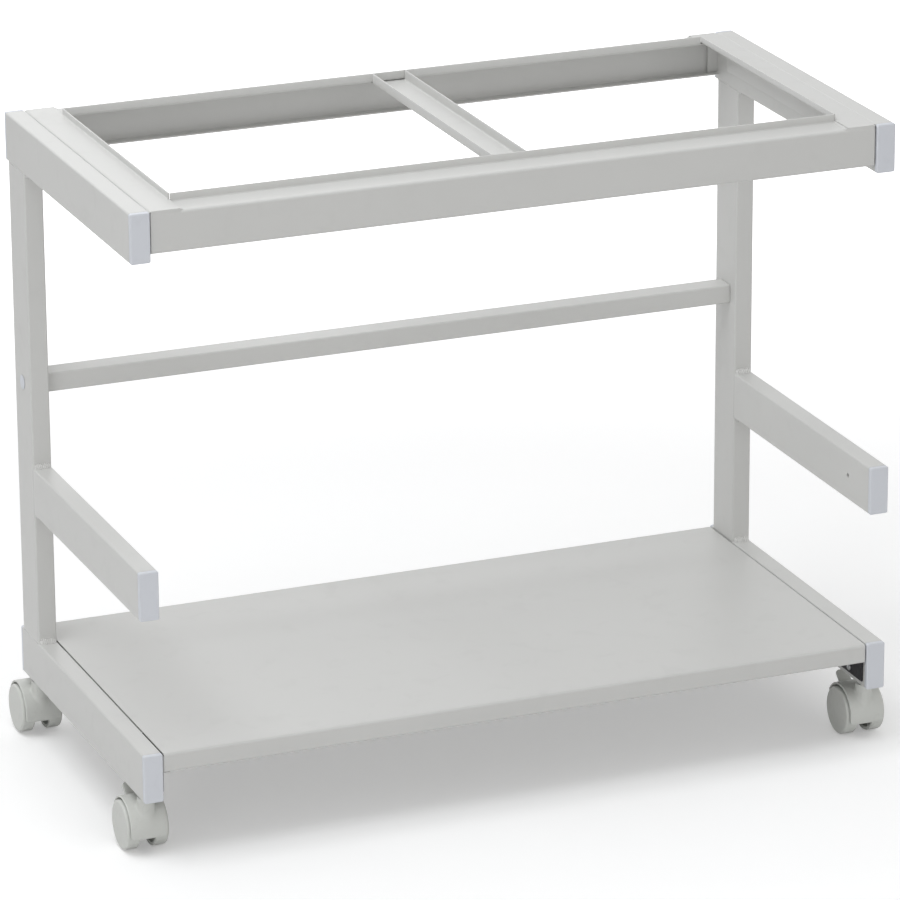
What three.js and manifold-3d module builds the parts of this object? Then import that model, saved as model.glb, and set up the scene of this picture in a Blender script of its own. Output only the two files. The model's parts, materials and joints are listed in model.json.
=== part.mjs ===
// Office trolley: two E-shaped side frames of rectangular steel tube on twin-wheel casters. A rear
// crossbar, a top frame with hanging rails for two rows of suspension files, and a sheet-metal
// shelf near the floor join the frames.
// Millimetres. +X points to the trolley's right, +Y to its back and +Z up. The origin lies on the
// floor, under the middle of the box round the whole trolley.

import * as THREE from "three";
import { mergeVertices } from "three/addons/utils/BufferGeometryUtils.js";
import Module from "manifold-3d";

const wasm = await Module();
wasm.setup();

// Side frames
const frameWidth = 800; // over the outer faces of both side frames
const armLength = 388; // with its end caps
const tubeHeight = 50;
const tubeWidth = 20;
const tubeWall = 1.5;
const tubeCorner = 2;
const postDepth = 50;
const postSetback = 8.5; // rear end of the top arm to the post's back
const topArmRise = 550; // top of the bottom arm to the top of the top arm
const middleArmRise = 190; // top of the bottom arm to the top of the middle arm
const seatGap = 0.3; // between pieces that rest on each other

// End caps of the arms
const capHead = 5;
const capEdge = 1.2;
const capCorner = 0.8; // inside the soft edge
const capInsert = 11;
const capFit = 0.3;

// Spare fixing hole in each middle arm
const spareHoleRadius = 2.5;
const spareHoleSetback = 47;
const spareHoleDrop = 24;

// Rear crossbar and the screw at each end, behind a plug in the post
const barHeight = 20;
const barDepth = 25;
const barWall = 1.5;
const barCorner = 1.5;
const barRise = 275; // top of the bottom arm to the bar's centre
const barEndBlock = 30;
const barScrewRadius = 3;
const barScrewLength = 22;
const barScrewHeadRadius = 5;
const barScrewHeadHeight = 3;
const plugRadius = 6;
const plugDepth = 3;
const plugFlangeRadius = 7.5;
const plugFlangeHeight = 0.8;

// Top frame of folded sheet
const folderSpan = 330; // between the hanging lips of one row
const sideFlange = 31.5; // side frame to the hanging lip
const railSheet = 1.5;
const railBend = 2.2;
const railFace = 41;
const railLedge = 31.5;
const railLip = 8;
const railReturn = 12;
const railSetback = 3; // front of the arms' end caps to the rail's face
const sideWeb = 34;
const centreTab = 25; // the centre rail's tab under a ledge
const sheetEndGap = 1.5; // side frame to the end of a rail or of the shelf

// Shelf
const shelfSheet = 1.2;
const shelfBend = 2;
const shelfLip = 20;
const shelfReturn = 12;
const shelfReturnCut = 8; // the return stops short of the shelf's end for the bracket
const shelfSideFold = 16; // height of the fold at each end, between the brackets
const shelfSideFoldGap = 4; // from that fold to a bracket
const shelfDrop = 0.8; // below the tops of the bottom arms
const shelfSetback = 2;

// Shelf brackets and their screws
const bracketLength = 60;
const bracketSetback = 3; // behind the inside of the shelf's lip
const bracketFoot = 6.7; // underside of the bottom arm to the bracket's lower edge
const bracketWidth = 24;
const bracketSheet = 2.5;
const bracketBend = 3;
const bracketScrewSetback = 26;
const bracketScrewRise = 7; // above the bracket's lower edge
const bracketScrewRadius = 2;
const bracketScrewLength = 8;
const bracketScrewHeadRadius = 3.6;
const bracketScrewHeadHeight = 2;

// Casters
const casterHeight = 62; // floor to the underside of the bottom arms
const casterTrail = 18; // stem to axle
const stemSetback = 27; // end of the arm to the stem
const stemRadius = 4;
const stemInBoss = 22;
const stemInArm = 16;
const stemCollarRadius = 7.5;
const stemCollarHeight = 2;
const swivelGap = 0.5;
const boreFit = 0.3;
const wheelRadius = 25;
const wheelWidth = 14;
const wheelSpacing = 16; // between the two wheels of a caster
const wheelDisc = 3;
const wheelRim = 3.5;
const wheelChamfer = 1.3;
const wheelHubRadius = 7;
const wheelHubSetback = 0.8;
const axleRadius = 2.5;
const axleEndGap = 0.5;
const hoodGap = 1.8; // wheel to hood
const hoodWall = 2.2;
const hoodInset = 3; // wheel's outer face to the hood's edge
const hoodRearAngle = 25; // degrees above the level line behind the axle
const hoodFrontAngle = 195;
const webWidth = 8;
const webRearAngle = 55;
const webFrontAngle = 188;
const axleBossRadius = 7.5;
const bossRadius = 8.7;
const bossCoreWidth = 12.5;
const bossCoreDepth = 15;
const bossCoreDrop = 4; // below the axle

// Brake levers of the front casters
const pivotBehind = 12; // from the axle
const pivotAbove = 8.5;
const pivotRadius = 2;
const pivotLugRadius = 5;
const pivotProud = 3; // out of the web's side
const leverAngle = 42; // degrees above level
const leverLength = 31;
const leverTabStart = 13.5;
const leverTabWidth = 14;
const leverTabThickness = 3;
const leverTabCorner = 4;
const leverCheek = 2.5;
const leverCheekGap = 0.4;
const leverCheekRadius = 3.4;
const leverNotchAngle = 52; // top of the notch in the hood, above the level line behind the axle
const leverNotchGap = 0.8;

// Numbers of straight sides on round shapes, and the reach of a cut past what it cuts
const wheelSides = 24;
const hoodSteps = 6;
const bossSides = 16;
const pinSides = 12;
const bendSteps = 3;
const capSteps = 2;
const overrun = 2;

// Levels and depths that several pieces share
const innerHalf = frameWidth / 2 - tubeWidth;
const armX = frameWidth / 2 - tubeWidth / 2;
const rearOverhang = casterTrail - stemSetback + wheelRadius;
const armFront = -(armLength + rearOverhang) / 2;
const armRear = armFront + armLength;
const postRear = armRear - postSetback;
const postFront = postRear - postDepth;
const postMiddle = (postFront + postRear) / 2;
const bottomArmTop = casterHeight + tubeHeight;
const topArmTop = bottomArmTop + topArmRise;
const middleArmTop = bottomArmTop + middleArmRise;
const barLevel = bottomArmTop + barRise;
const railFront = armFront + railSetback;
const railRear = armRear - railSetback;
const ledgeTop = topArmTop - railSheet - seatGap;
const lipTop = ledgeTop + railLip;
const lipHalf = innerHalf - sideFlange; // trolley's middle to the outer hanging lips
const centreHalf = lipHalf - folderSpan; // trolley's middle to the centre rail's lips
const shelfTop = bottomArmTop - shelfDrop;
const hoodInner = wheelRadius + hoodGap;
const hoodOuter = hoodInner + hoodWall;
const casterHalf = wheelSpacing / 2 + wheelWidth;
const bracketTop = shelfTop - shelfSheet - seatGap;
const bracketLow = casterHeight + bracketFoot;
const bracketScrewLevel = bracketLow + bracketScrewRise;

// Places along Y of what repeats at the front (-1) and the rear (1)
const armEnd = (end) => (end < 0 ? armFront : armRear);
const stemPlace = (end) => armEnd(end) - end * stemSetback;
const shelfLipInside = (end) => armEnd(end) - end * (shelfSetback + shelfSheet + shelfBend);
const bracketEnd = (end) => shelfLipInside(end) - end * bracketSetback;
const bracketInnerEnd = (end) => bracketEnd(end) - end * bracketLength;
const bracketScrewPlace = (end) => bracketEnd(end) - end * bracketScrewSetback;

// Colours, roughness and metalness
const finishes = {
  paint: { color: 0xd2d2cf, roughness: 0.42, metalness: 0.0 },
  cap: { color: 0xcdd2da, roughness: 0.45, metalness: 0.0 },
  caster: { color: 0xc9ccc6, roughness: 0.4, metalness: 0.0 },
  bracket: { color: 0x2c2a30, roughness: 0.55, metalness: 0.0 },
  steel: { color: 0xb9bbbd, roughness: 0.32, metalness: 1.0 },
};

const trolley = new THREE.Group();

// A closed mesh as a solid. Triangles that shrink to a line at a lathe's poles are dropped.
function solid(geometry) {
  geometry.deleteAttribute("normal");
  geometry.deleteAttribute("uv");
  const merged = mergeVertices(geometry);
  const index = merged.index.array;
  const kept = [];
  for (let i = 0; i < index.length; i += 3) {
    const [a, b, c] = [index[i], index[i + 1], index[i + 2]];
    if (a !== b && b !== c && c !== a) {
      kept.push(a, b, c);
    }
  }
  const vertProperties = new Float32Array(merged.attributes.position.array);
  const triVerts = new Uint32Array(kept);
  return new wasm.Manifold(new wasm.Mesh({ numProp: 3, vertProperties, triVerts }));
}

// Adds a solid to the trolley as a named mesh.
function addPiece(name, body, finish) {
  const mesh = body.getMesh();
  const geometry = new THREE.BufferGeometry();
  geometry.setAttribute("position", new THREE.BufferAttribute(mesh.vertProperties, 3));
  geometry.setIndex(new THREE.BufferAttribute(mesh.triVerts, 1));
  geometry.computeVertexNormals();
  const piece = new THREE.Mesh(geometry, new THREE.MeshStandardMaterial(finishes[finish]));
  piece.name = name;
  trolley.add(piece);
}

// Extrusions of a shape. The section lies in (Y, Z), (X, Z) or (X, Y).
const axisX = new THREE.Vector3(1, 0, 0);
const axisY = new THREE.Vector3(0, 1, 0);
const axisZ = new THREE.Vector3(0, 0, 1);
const backward = new THREE.Vector3(0, -1, 0);

function extruded(shape, length, steps) {
  return new THREE.ExtrudeGeometry(shape, { depth: length, bevelEnabled: false, curveSegments: steps });
}

function alongX(shape, from, to, steps = bendSteps) {
  const geometry = extruded(shape, to - from, steps);
  geometry.applyMatrix4(new THREE.Matrix4().makeBasis(axisY, axisZ, axisX));
  return solid(geometry.translate(from, 0, 0));
}

function alongY(shape, from, to, steps = bendSteps) {
  const geometry = extruded(shape, to - from, steps);
  geometry.applyMatrix4(new THREE.Matrix4().makeBasis(axisX, axisZ, backward));
  return solid(geometry.translate(0, to, 0));
}

function alongZ(shape, from, to, steps = bendSteps) {
  return solid(extruded(shape, to - from, steps).translate(0, 0, from));
}

// A plain block between two corners.
function block(low, high) {
  const [width, depth, height] = high.map((value, i) => value - low[i]);
  const geometry = new THREE.BoxGeometry(width, depth, height);
  return solid(geometry.translate(low[0] + width / 2, low[1] + depth / 2, low[2] + height / 2));
}

// A round rod along X or Z.
function rodX(radius, from, to, y, z, sides) {
  const geometry = new THREE.CylinderGeometry(radius, radius, to - from, sides);
  return solid(geometry.rotateZ(-Math.PI / 2).translate((from + to) / 2, y, z));
}

function rodZ(radius, from, to, x, y, sides) {
  const geometry = new THREE.CylinderGeometry(radius, radius, to - from, sides);
  return solid(geometry.rotateX(Math.PI / 2).translate(x, y, (from + to) / 2));
}

// A turned piece about X or Z. The profile holds [radius, place along the axis] pairs, from the
// low end of the axis round the outside to its high end.
function turned(profile, sides) {
  const points = profile.map(([radius, place]) => new THREE.Vector2(radius, place));
  return new THREE.LatheGeometry(points, sides, Math.PI / sides);
}

// A turned piece on the left side is the mirror of the one on the right.
function turnedX(profile, side, y, z, sides) {
  const placed = side > 0 ? profile : profile.map(([radius, place]) => [radius, -place]).reverse();
  return solid(turned(placed, sides).rotateZ(-Math.PI / 2).translate(0, y, z));
}

function turnedZ(profile, sides) {
  return solid(turned(profile, sides).rotateX(Math.PI / 2));
}

function roundedRectangle(centreA, centreB, width, height, corner) {
  const [left, right] = [centreA - width / 2, centreA + width / 2];
  const [low, high] = [centreB - height / 2, centreB + height / 2];
  const shape = new THREE.Shape();
  shape.absarc(right - corner, low + corner, corner, -Math.PI / 2, 0);
  shape.absarc(right - corner, high - corner, corner, 0, Math.PI / 2);
  shape.absarc(left + corner, high - corner, corner, Math.PI / 2, Math.PI);
  shape.absarc(left + corner, low + corner, corner, Math.PI, 1.5 * Math.PI);
  shape.closePath();
  return shape;
}

function plainRectangle(centreA, centreB, width, height) {
  const shape = new THREE.Shape();
  shape.moveTo(centreA - width / 2, centreB - height / 2);
  shape.lineTo(centreA + width / 2, centreB - height / 2);
  shape.lineTo(centreA + width / 2, centreB + height / 2);
  shape.lineTo(centreA - width / 2, centreB + height / 2);
  shape.closePath();
  return shape;
}

// The section of a rectangular tube.
function tubeSection(centreA, centreB, width, height) {
  const shape = roundedRectangle(centreA, centreB, width, height, tubeCorner);
  shape.holes.push(plainRectangle(centreA, centreB, width - 2 * tubeWall, height - 2 * tubeWall));
  return shape;
}

// The section of a folded sheet. The path runs along the middle of the sheet's thickness, and each
// of its corners is rounded to the bend radius, also measured at that middle.
function foldedSection(path, sheet, bend) {
  const middle = [];
  const corners = path.map(([a, b]) => new THREE.Vector2(a, b));
  corners.forEach((corner, i) => {
    if (i === 0 || i === corners.length - 1) {
      const along = i === 0 ? corners[1].clone().sub(corner) : corner.clone().sub(corners[i - 1]);
      middle.push({ at: corner, along: along.normalize() });
      return;
    }
    const before = corner.clone().sub(corners[i - 1]).normalize();
    const after = corners[i + 1].clone().sub(corner).normalize();
    const turn = Math.atan2(before.cross(after), before.dot(after));
    const trim = bend * Math.tan(Math.abs(turn) / 2);
    const start = corner.clone().addScaledVector(before, -trim);
    const side = new THREE.Vector2(-before.y, before.x).multiplyScalar(Math.sign(turn) * bend);
    const centre = start.clone().add(side);
    for (let step = 0; step <= bendSteps; step += 1) {
      const angle = (turn * step) / bendSteps;
      middle.push({
        at: start.clone().rotateAround(centre, angle),
        along: before.clone().rotateAround(new THREE.Vector2(), angle),
      });
    }
  });
  const offset = ({ at, along }, distance) =>
    new THREE.Vector2(at.x - along.y * distance, at.y + along.x * distance);
  const left = middle.map((point) => offset(point, sheet / 2));
  const right = middle.map((point) => offset(point, -sheet / 2)).reverse();
  return new THREE.Shape([...left, ...right]);
}

// A sector of a ring or, with no inner radius, of a disc, in degrees from the first axis.
function sector(centreA, centreB, inner, outer, fromAngle, toAngle) {
  const from = THREE.MathUtils.degToRad(fromAngle);
  const to = THREE.MathUtils.degToRad(toAngle);
  const shape = new THREE.Shape();
  shape.absarc(centreA, centreB, outer, from, to);
  if (inner > 0) {
    shape.absarc(centreA, centreB, inner, to, from, true);
  } else {
    shape.lineTo(centreA, centreB);
  }
  shape.closePath();
  return shape;
}

// A strip with round ends between two points.
function capsule([startA, startB], [endA, endB], radius) {
  const heading = Math.atan2(endB - startB, endA - startA);
  const shape = new THREE.Shape();
  shape.absarc(endA, endB, radius, heading - Math.PI / 2, heading + Math.PI / 2);
  shape.absarc(startA, startB, radius, heading + Math.PI / 2, heading + 1.5 * Math.PI);
  shape.closePath();
  return shape;
}

// A side frame's sign along X, and the place of a distance inwards from its inner face.
const sideSigns = { left: -1, right: 1 };
const endSigns = { front: -1, rear: 1 };
const inwardsFrom = (side, distance) => side * (innerHalf - distance);
const ordered = (a, b) => [Math.min(a, b), Math.max(a, b)];

// A round hole through the inner wall of a tube on the given side and through a leaf beside it.
function innerWallHole(side, radius, y, z) {
  const leaf = bracketSheet + overrun;
  const [from, to] = ordered(inwardsFrom(side, leaf), inwardsFrom(side, -tubeWall - overrun));
  return rodX(radius, from, to, y, z, pinSides);
}

function bracketScrewHole(side, end) {
  const radius = bracketScrewRadius + boreFit;
  return innerWallHole(side, radius, bracketScrewPlace(end), bracketScrewLevel);
}

// Side frames
function armTube(side, top, rear) {
  const section = tubeSection(side * armX, top - tubeHeight / 2, tubeWidth, tubeHeight);
  return alongY(section, armFront + capHead + seatGap, rear);
}

function middleArm(side) {
  const tube = armTube(side, middleArmTop, postFront - seatGap);
  const y = armFront + spareHoleSetback;
  return tube.subtract(innerWallHole(side, spareHoleRadius, y, middleArmTop - spareHoleDrop));
}

function bottomArm(side, rear) {
  let tube = armTube(side, bottomArmTop, rear);
  for (const end of Object.values(endSigns)) {
    const [low, high] = [casterHeight - overrun, casterHeight + tubeWall + overrun];
    const stemHole = rodZ(stemRadius + boreFit, low, high, side * armX, stemPlace(end), pinSides);
    tube = tube.subtract(stemHole).subtract(bracketScrewHole(side, end));
  }
  return tube;
}

function post(side) {
  const section = tubeSection(side * armX, postMiddle, tubeWidth, postDepth);
  const tube = alongZ(section, bottomArmTop + seatGap, topArmTop - tubeHeight - seatGap);
  const plugHole = ordered(side * (frameWidth / 2 + overrun), side * (frameWidth / 2 - tubeWall - overrun));
  return tube
    .subtract(rodX(plugRadius + boreFit, ...plugHole, postMiddle, barLevel, bossSides))
    .subtract(innerWallHole(side, barScrewRadius + boreFit, postMiddle, barLevel));
}

// A cap: a head with soft outer edges over the tube's end, and an insert inside the tube.
function endCap(side, top, end) {
  const [x, z] = [side * armX, top - tubeHeight / 2];
  const outer = armEnd(end);
  const seat = outer - end * capHead;
  const [width, height] = [tubeWidth - 2 * capEdge, tubeHeight - 2 * capEdge];
  const slab = new THREE.ExtrudeGeometry(roundedRectangle(x, z, width, height, capCorner), {
    depth: capHead + overrun - 2 * capEdge,
    bevelThickness: capEdge,
    bevelSize: capEdge,
    bevelSegments: capSteps,
    curveSegments: capSteps,
  });
  slab.applyMatrix4(new THREE.Matrix4().makeBasis(axisX, axisZ, backward));
  slab.translate(0, Math.max(outer, outer - end * (capHead + overrun)) - capEdge, 0);
  const [from, to] = ordered(seat, outer + end * overrun);
  const keep = block([x - tubeWidth, from, z - tubeHeight], [x + tubeWidth, to, z + tubeHeight]);
  const halfWidth = tubeWidth / 2 - tubeWall - capFit;
  const halfHeight = tubeHeight / 2 - tubeWall - capFit;
  const [near, far] = ordered(seat + end * capEdge, seat - end * capInsert);
  const insert = block([x - halfWidth, near, z - halfHeight], [x + halfWidth, far, z + halfHeight]);
  return solid(slab).intersect(keep).add(insert);
}

function addSideFrame(name) {
  const side = sideSigns[name];
  const tubeRear = armRear - capHead - seatGap;
  addPiece(`${name}_post`, post(side), "paint");
  addPiece(`${name}_top_arm`, armTube(side, topArmTop, tubeRear), "paint");
  addPiece(`${name}_middle_arm`, middleArm(side), "paint");
  addPiece(`${name}_bottom_arm`, bottomArm(side, tubeRear), "paint");
  addPiece(`${name}_top_front_cap`, endCap(side, topArmTop, endSigns.front), "cap");
  addPiece(`${name}_top_rear_cap`, endCap(side, topArmTop, endSigns.rear), "cap");
  addPiece(`${name}_middle_front_cap`, endCap(side, middleArmTop, endSigns.front), "cap");
  addPiece(`${name}_bottom_front_cap`, endCap(side, bottomArmTop, endSigns.front), "cap");
  addPiece(`${name}_bottom_rear_cap`, endCap(side, bottomArmTop, endSigns.rear), "cap");
}

// Rear crossbar, a tube with solid ends, its screws inside the posts and the plugs over them
function crossbar() {
  const reach = innerHalf - seatGap;
  const outline = roundedRectangle(postMiddle, barLevel, barDepth, barHeight, barCorner);
  const hollow = plainRectangle(postMiddle, barLevel, barDepth - 2 * barWall, barHeight - 2 * barWall);
  const [radius, past] = [barScrewRadius + boreFit, reach + overrun];
  const hole = rodX(radius, -past, past, postMiddle, barLevel, pinSides);
  return alongX(outline, -reach, reach)
    .subtract(alongX(hollow, -reach + barEndBlock, reach - barEndBlock))
    .subtract(hole);
}

function crossbarScrew(side) {
  const seat = innerHalf + tubeWall + seatGap;
  const tip = seat - barScrewLength;
  const top = seat + barScrewHeadHeight;
  const profile = [
    [0, tip],
    [barScrewRadius, tip],
    [barScrewRadius, seat],
    [barScrewHeadRadius, seat],
    [barScrewHeadRadius, top],
    [0, top],
  ];
  return turnedX(profile, side, postMiddle, barLevel, pinSides);
}

function postPlug(side) {
  const face = frameWidth / 2 + seatGap;
  const profile = [
    [0, face - plugDepth],
    [plugRadius, face - plugDepth],
    [plugRadius, face],
    [plugFlangeRadius, face],
    [plugFlangeRadius - plugFlangeHeight, face + plugFlangeHeight],
    [0, face + plugFlangeHeight],
  ];
  return turnedX(profile, side, postMiddle, barLevel, bossSides);
}

function addCrossbar() {
  addPiece("rear_crossbar", crossbar(), "paint");
  for (const [name, side] of Object.entries(sideSigns)) {
    addPiece(`crossbar_screw_${name}`, crossbarScrew(side), "steel");
    addPiece(`post_plug_${name}`, postPlug(side), "cap");
  }
}

// Top frame. A cross rail has a face, a ledge behind its top, a lip behind the ledge and a return
// under the face. At its ends only the ledge goes on, under the flanges of the side rails.
function crossRail(end) {
  const face = end < 0 ? railFront : railRear;
  const behind = (distance) => face - end * distance;
  const half = railSheet / 2;
  const section = foldedSection(
    [
      [behind(railReturn), ledgeTop - railFace + half],
      [behind(half), ledgeTop - railFace + half],
      [behind(half), ledgeTop - half],
      [behind(railLedge - half), ledgeTop - half],
      [behind(railLedge - half), lipTop],
    ],
    railSheet,
    railBend,
  );
  let rail = alongX(section, -innerHalf + sheetEndGap, innerHalf - sheetEndGap);
  const [near, far] = ordered(behind(-overrun), behind(railLedge + overrun));
  for (const side of Object.values(sideSigns)) {
    const [from, to] = ordered(side * (lipHalf - seatGap), side * (innerHalf + overrun));
    rail = rail.subtract(block([from, near, ledgeTop], [to, far, lipTop + overrun]));
  }
  return rail;
}

// A side rail has a web beside the arm, a flange level with the arm's top and a hanging lip. At
// its ends only the flange goes on, over the ledges of the cross rails.
function sideRail(side) {
  const half = railSheet / 2;
  const section = foldedSection(
    [
      [inwardsFrom(side, seatGap + half), topArmTop - sideWeb],
      [inwardsFrom(side, seatGap + half), topArmTop - half],
      [inwardsFrom(side, sideFlange - half), topArmTop - half],
      [inwardsFrom(side, sideFlange - half), lipTop],
    ],
    railSheet,
    railBend,
  );
  let rail = alongY(section, railFront, railRear);
  const [from, to] = ordered(inwardsFrom(side, -overrun), inwardsFrom(side, sideFlange + overrun));
  for (const end of Object.values(endSigns)) {
    const face = end < 0 ? railFront : railRear;
    const [near, far] = ordered(face + end * overrun, face - end * (railLedge + seatGap));
    const below = block([from, near, topArmTop - sideWeb - overrun], [to, far, topArmTop - railSheet]);
    const above = block([from, near, topArmTop], [to, far, lipTop + overrun]);
    rail = rail.subtract(below).subtract(above);
  }
  return rail;
}

// The centre rail is a channel with a hanging lip for each row. At its ends only its base goes on,
// under the ledges of the cross rails.
function centreRail() {
  const half = railSheet / 2;
  const baseTop = ledgeTop - railSheet - seatGap;
  const lipX = centreHalf - half;
  const section = foldedSection(
    [
      [-lipX, lipTop],
      [-lipX, baseTop - half],
      [lipX, baseTop - half],
      [lipX, lipTop],
    ],
    railSheet,
    railBend,
  );
  const reach = centreTab - railLedge;
  let rail = alongY(section, railFront - reach, railRear + reach);
  for (const end of Object.values(endSigns)) {
    const face = end < 0 ? railFront : railRear;
    const [near, far] = ordered(face, face - end * (railLedge + seatGap));
    const low = [-centreHalf - overrun, near, baseTop];
    rail = rail.subtract(block(low, [centreHalf + overrun, far, lipTop + overrun]));
  }
  return rail;
}

function addTopFrame() {
  for (const [name, end] of Object.entries(endSigns)) {
    addPiece(`${name}_rail`, crossRail(end), "paint");
  }
  for (const [name, side] of Object.entries(sideSigns)) {
    addPiece(`${name}_side_rail`, sideRail(side), "paint");
  }
  addPiece("centre_rail", centreRail(), "paint");
}

// Shelf: a folded tray with a lip and a return at the front and the back, and a fold at each end.
// The returns stop short of the side frames, and the end folds lie between the brackets there.
function shelf() {
  const half = shelfSheet / 2;
  const [front, rear] = [armFront + shelfSetback, armRear - shelfSetback];
  const low = shelfTop - shelfLip;
  const section = foldedSection(
    [
      [front + shelfReturn, low + half],
      [front + half, low + half],
      [front + half, shelfTop - half],
      [rear - half, shelfTop - half],
      [rear - half, low + half],
      [rear - shelfReturn, low + half],
    ],
    shelfSheet,
    shelfBend,
  );
  let tray = alongX(section, -innerHalf + sheetEndGap, innerHalf - sheetEndGap);
  for (const side of Object.values(sideSigns)) {
    const [from, to] = ordered(inwardsFrom(side, shelfReturnCut), inwardsFrom(side, -overrun));
    for (const end of Object.values(endSigns)) {
      const edge = end < 0 ? front : rear;
      const [near, far] = ordered(edge - end * shelfSheet, edge - end * (shelfReturn + overrun));
      tray = tray.subtract(block([from, near, low - overrun], [to, far, low + shelfSheet + shelfBend]));
    }
    const [inner, outer] = ordered(inwardsFrom(side, sheetEndGap + shelfSheet), inwardsFrom(side, sheetEndGap));
    const foldLow = [inner, bracketInnerEnd(endSigns.front) + shelfSideFoldGap, shelfTop - shelfSideFold];
    const foldHigh = [outer, bracketInnerEnd(endSigns.rear) - shelfSideFoldGap, shelfTop];
    tray = tray.add(block(foldLow, foldHigh));
  }
  return tray;
}

function bracket(side, end) {
  const half = bracketSheet / 2;
  const section = foldedSection(
    [
      [inwardsFrom(side, seatGap + half), bracketLow],
      [inwardsFrom(side, seatGap + half), bracketTop - half],
      [inwardsFrom(side, bracketWidth), bracketTop - half],
    ],
    bracketSheet,
    bracketBend,
  );
  const [from, to] = ordered(bracketEnd(end), bracketInnerEnd(end));
  return alongY(section, from, to).subtract(bracketScrewHole(side, end));
}

function bracketScrew(side, end) {
  const seat = innerHalf - 2 * seatGap - bracketSheet;
  const top = seat - bracketScrewHeadHeight;
  const tip = seat + bracketScrewLength;
  const profile = [
    [0, top],
    [bracketScrewHeadRadius - bracketScrewHeadHeight / 2, top],
    [bracketScrewHeadRadius, seat - bracketScrewHeadHeight / 2],
    [bracketScrewHeadRadius, seat],
    [bracketScrewRadius, seat],
    [bracketScrewRadius, tip],
    [0, tip],
  ];
  return turnedX(profile, side, bracketScrewPlace(end), bracketScrewLevel, pinSides);
}

function addShelf() {
  addPiece("shelf", shelf(), "paint");
  for (const [endName, end] of Object.entries(endSigns)) {
    for (const [sideName, side] of Object.entries(sideSigns)) {
      addPiece(`shelf_bracket_${endName}_${sideName}`, bracket(side, end), "bracket");
      addPiece(`bracket_screw_${endName}_${sideName}`, bracketScrew(side, end), "steel");
    }
  }
}

// Casters, each round its own stem on the Z axis, with its axle behind the stem
const axleY = casterTrail;
const axleZ = wheelRadius;
const pivot = [axleY + pivotBehind, axleZ + pivotAbove];
const collarTop = casterHeight - seatGap;
const collarBottom = collarTop - stemCollarHeight;
const bossTop = collarBottom - swivelGap;

function stem() {
  const [low, high] = [collarBottom - stemInBoss, casterHeight + stemInArm];
  const profile = [
    [0, low],
    [stemRadius, low],
    [stemRadius, collarBottom],
    [stemCollarRadius, collarBottom],
    [stemCollarRadius, collarTop],
    [stemRadius, collarTop],
    [stemRadius, high],
    [0, high],
  ];
  return turnedZ(profile, pinSides);
}

// The hood's shell over both wheels, the web between them, and the boss that turns on the stem. On a
// braked caster the shell has a notch for the lever, and the web carries the lever's pin.
function hood(braked) {
  const halfWidth = casterHalf - hoodInset;
  const inWall = hoodInner + hoodWall / 2;
  const shellSection = sector(axleY, axleZ, hoodInner, hoodOuter, hoodRearAngle, hoodFrontAngle);
  let shell = alongX(shellSection, -halfWidth, halfWidth, hoodSteps);
  if (braked) {
    const notchHalf = leverTabWidth / 2 + leverNotchGap;
    const notchSection = sector(axleY, axleZ, 0, hoodOuter + overrun, 0, leverNotchAngle);
    shell = shell.subtract(alongX(notchSection, -notchHalf, notchHalf, hoodSteps));
  }
  const webSection = sector(axleY, axleZ, 0, inWall, webRearAngle, webFrontAngle);
  const web = alongX(webSection, -webWidth / 2, webWidth / 2, hoodSteps);
  const axleBoss = rodX(axleBossRadius, -webWidth / 2, webWidth / 2, axleY, axleZ, bossSides);
  const wheelBay = rodX(inWall, -casterHalf, casterHalf, axleY, axleZ, 2 * wheelSides);
  const boss = rodZ(bossRadius, axleZ, bossTop, 0, 0, bossSides).subtract(wheelBay);
  const coreLow = [-bossCoreWidth / 2, -bossCoreDepth / 2, axleZ - bossCoreDrop];
  const core = block(coreLow, [bossCoreWidth / 2, bossCoreDepth / 2, bossTop - overrun]).intersect(wheelBay);
  const bore = rodZ(stemRadius + boreFit, bossTop - stemInBoss - boreFit, bossTop + overrun, 0, 0, pinSides);
  const axleHole = rodX(axleRadius + boreFit, -casterHalf, casterHalf, axleY, axleZ, pinSides);
  let body = shell.add(web).add(axleBoss).add(boss).add(core).subtract(bore).subtract(axleHole);
  if (braked) {
    const lug = capsule([axleY, axleZ + axleBossRadius], pivot, pivotLugRadius);
    const pinHalf = webWidth / 2 + pivotProud;
    body = body
      .add(alongX(lug, -webWidth / 2, webWidth / 2).subtract(axleHole))
      .add(rodX(pivotRadius, -pinHalf, pinHalf, ...pivot, pinSides));
  }
  return body;
}

// A wheel is a cup that opens towards the caster's middle, with a blind hub on the axle.
function wheel(side) {
  const inner = wheelSpacing / 2;
  const disc = casterHalf - wheelDisc;
  const tread = wheelRadius / Math.cos(Math.PI / wheelSides);
  const bore = axleRadius + boreFit;
  const profile = [
    [0, disc],
    [bore, disc],
    [bore, inner + wheelHubSetback],
    [wheelHubRadius, inner + wheelHubSetback],
    [wheelHubRadius, disc],
    [wheelRadius - wheelRim, disc],
    [wheelRadius - wheelRim, inner],
    [tread - wheelChamfer, inner],
    [tread, inner + wheelChamfer],
    [tread, casterHalf - wheelChamfer],
    [tread - wheelChamfer, casterHalf],
    [0, casterHalf],
  ];
  return turnedX(profile, side, axleY, axleZ, wheelSides);
}

function axle() {
  const reach = casterHalf - wheelDisc - axleEndGap;
  return rodX(axleRadius, -reach, reach, axleY, axleZ, pinSides);
}

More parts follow.
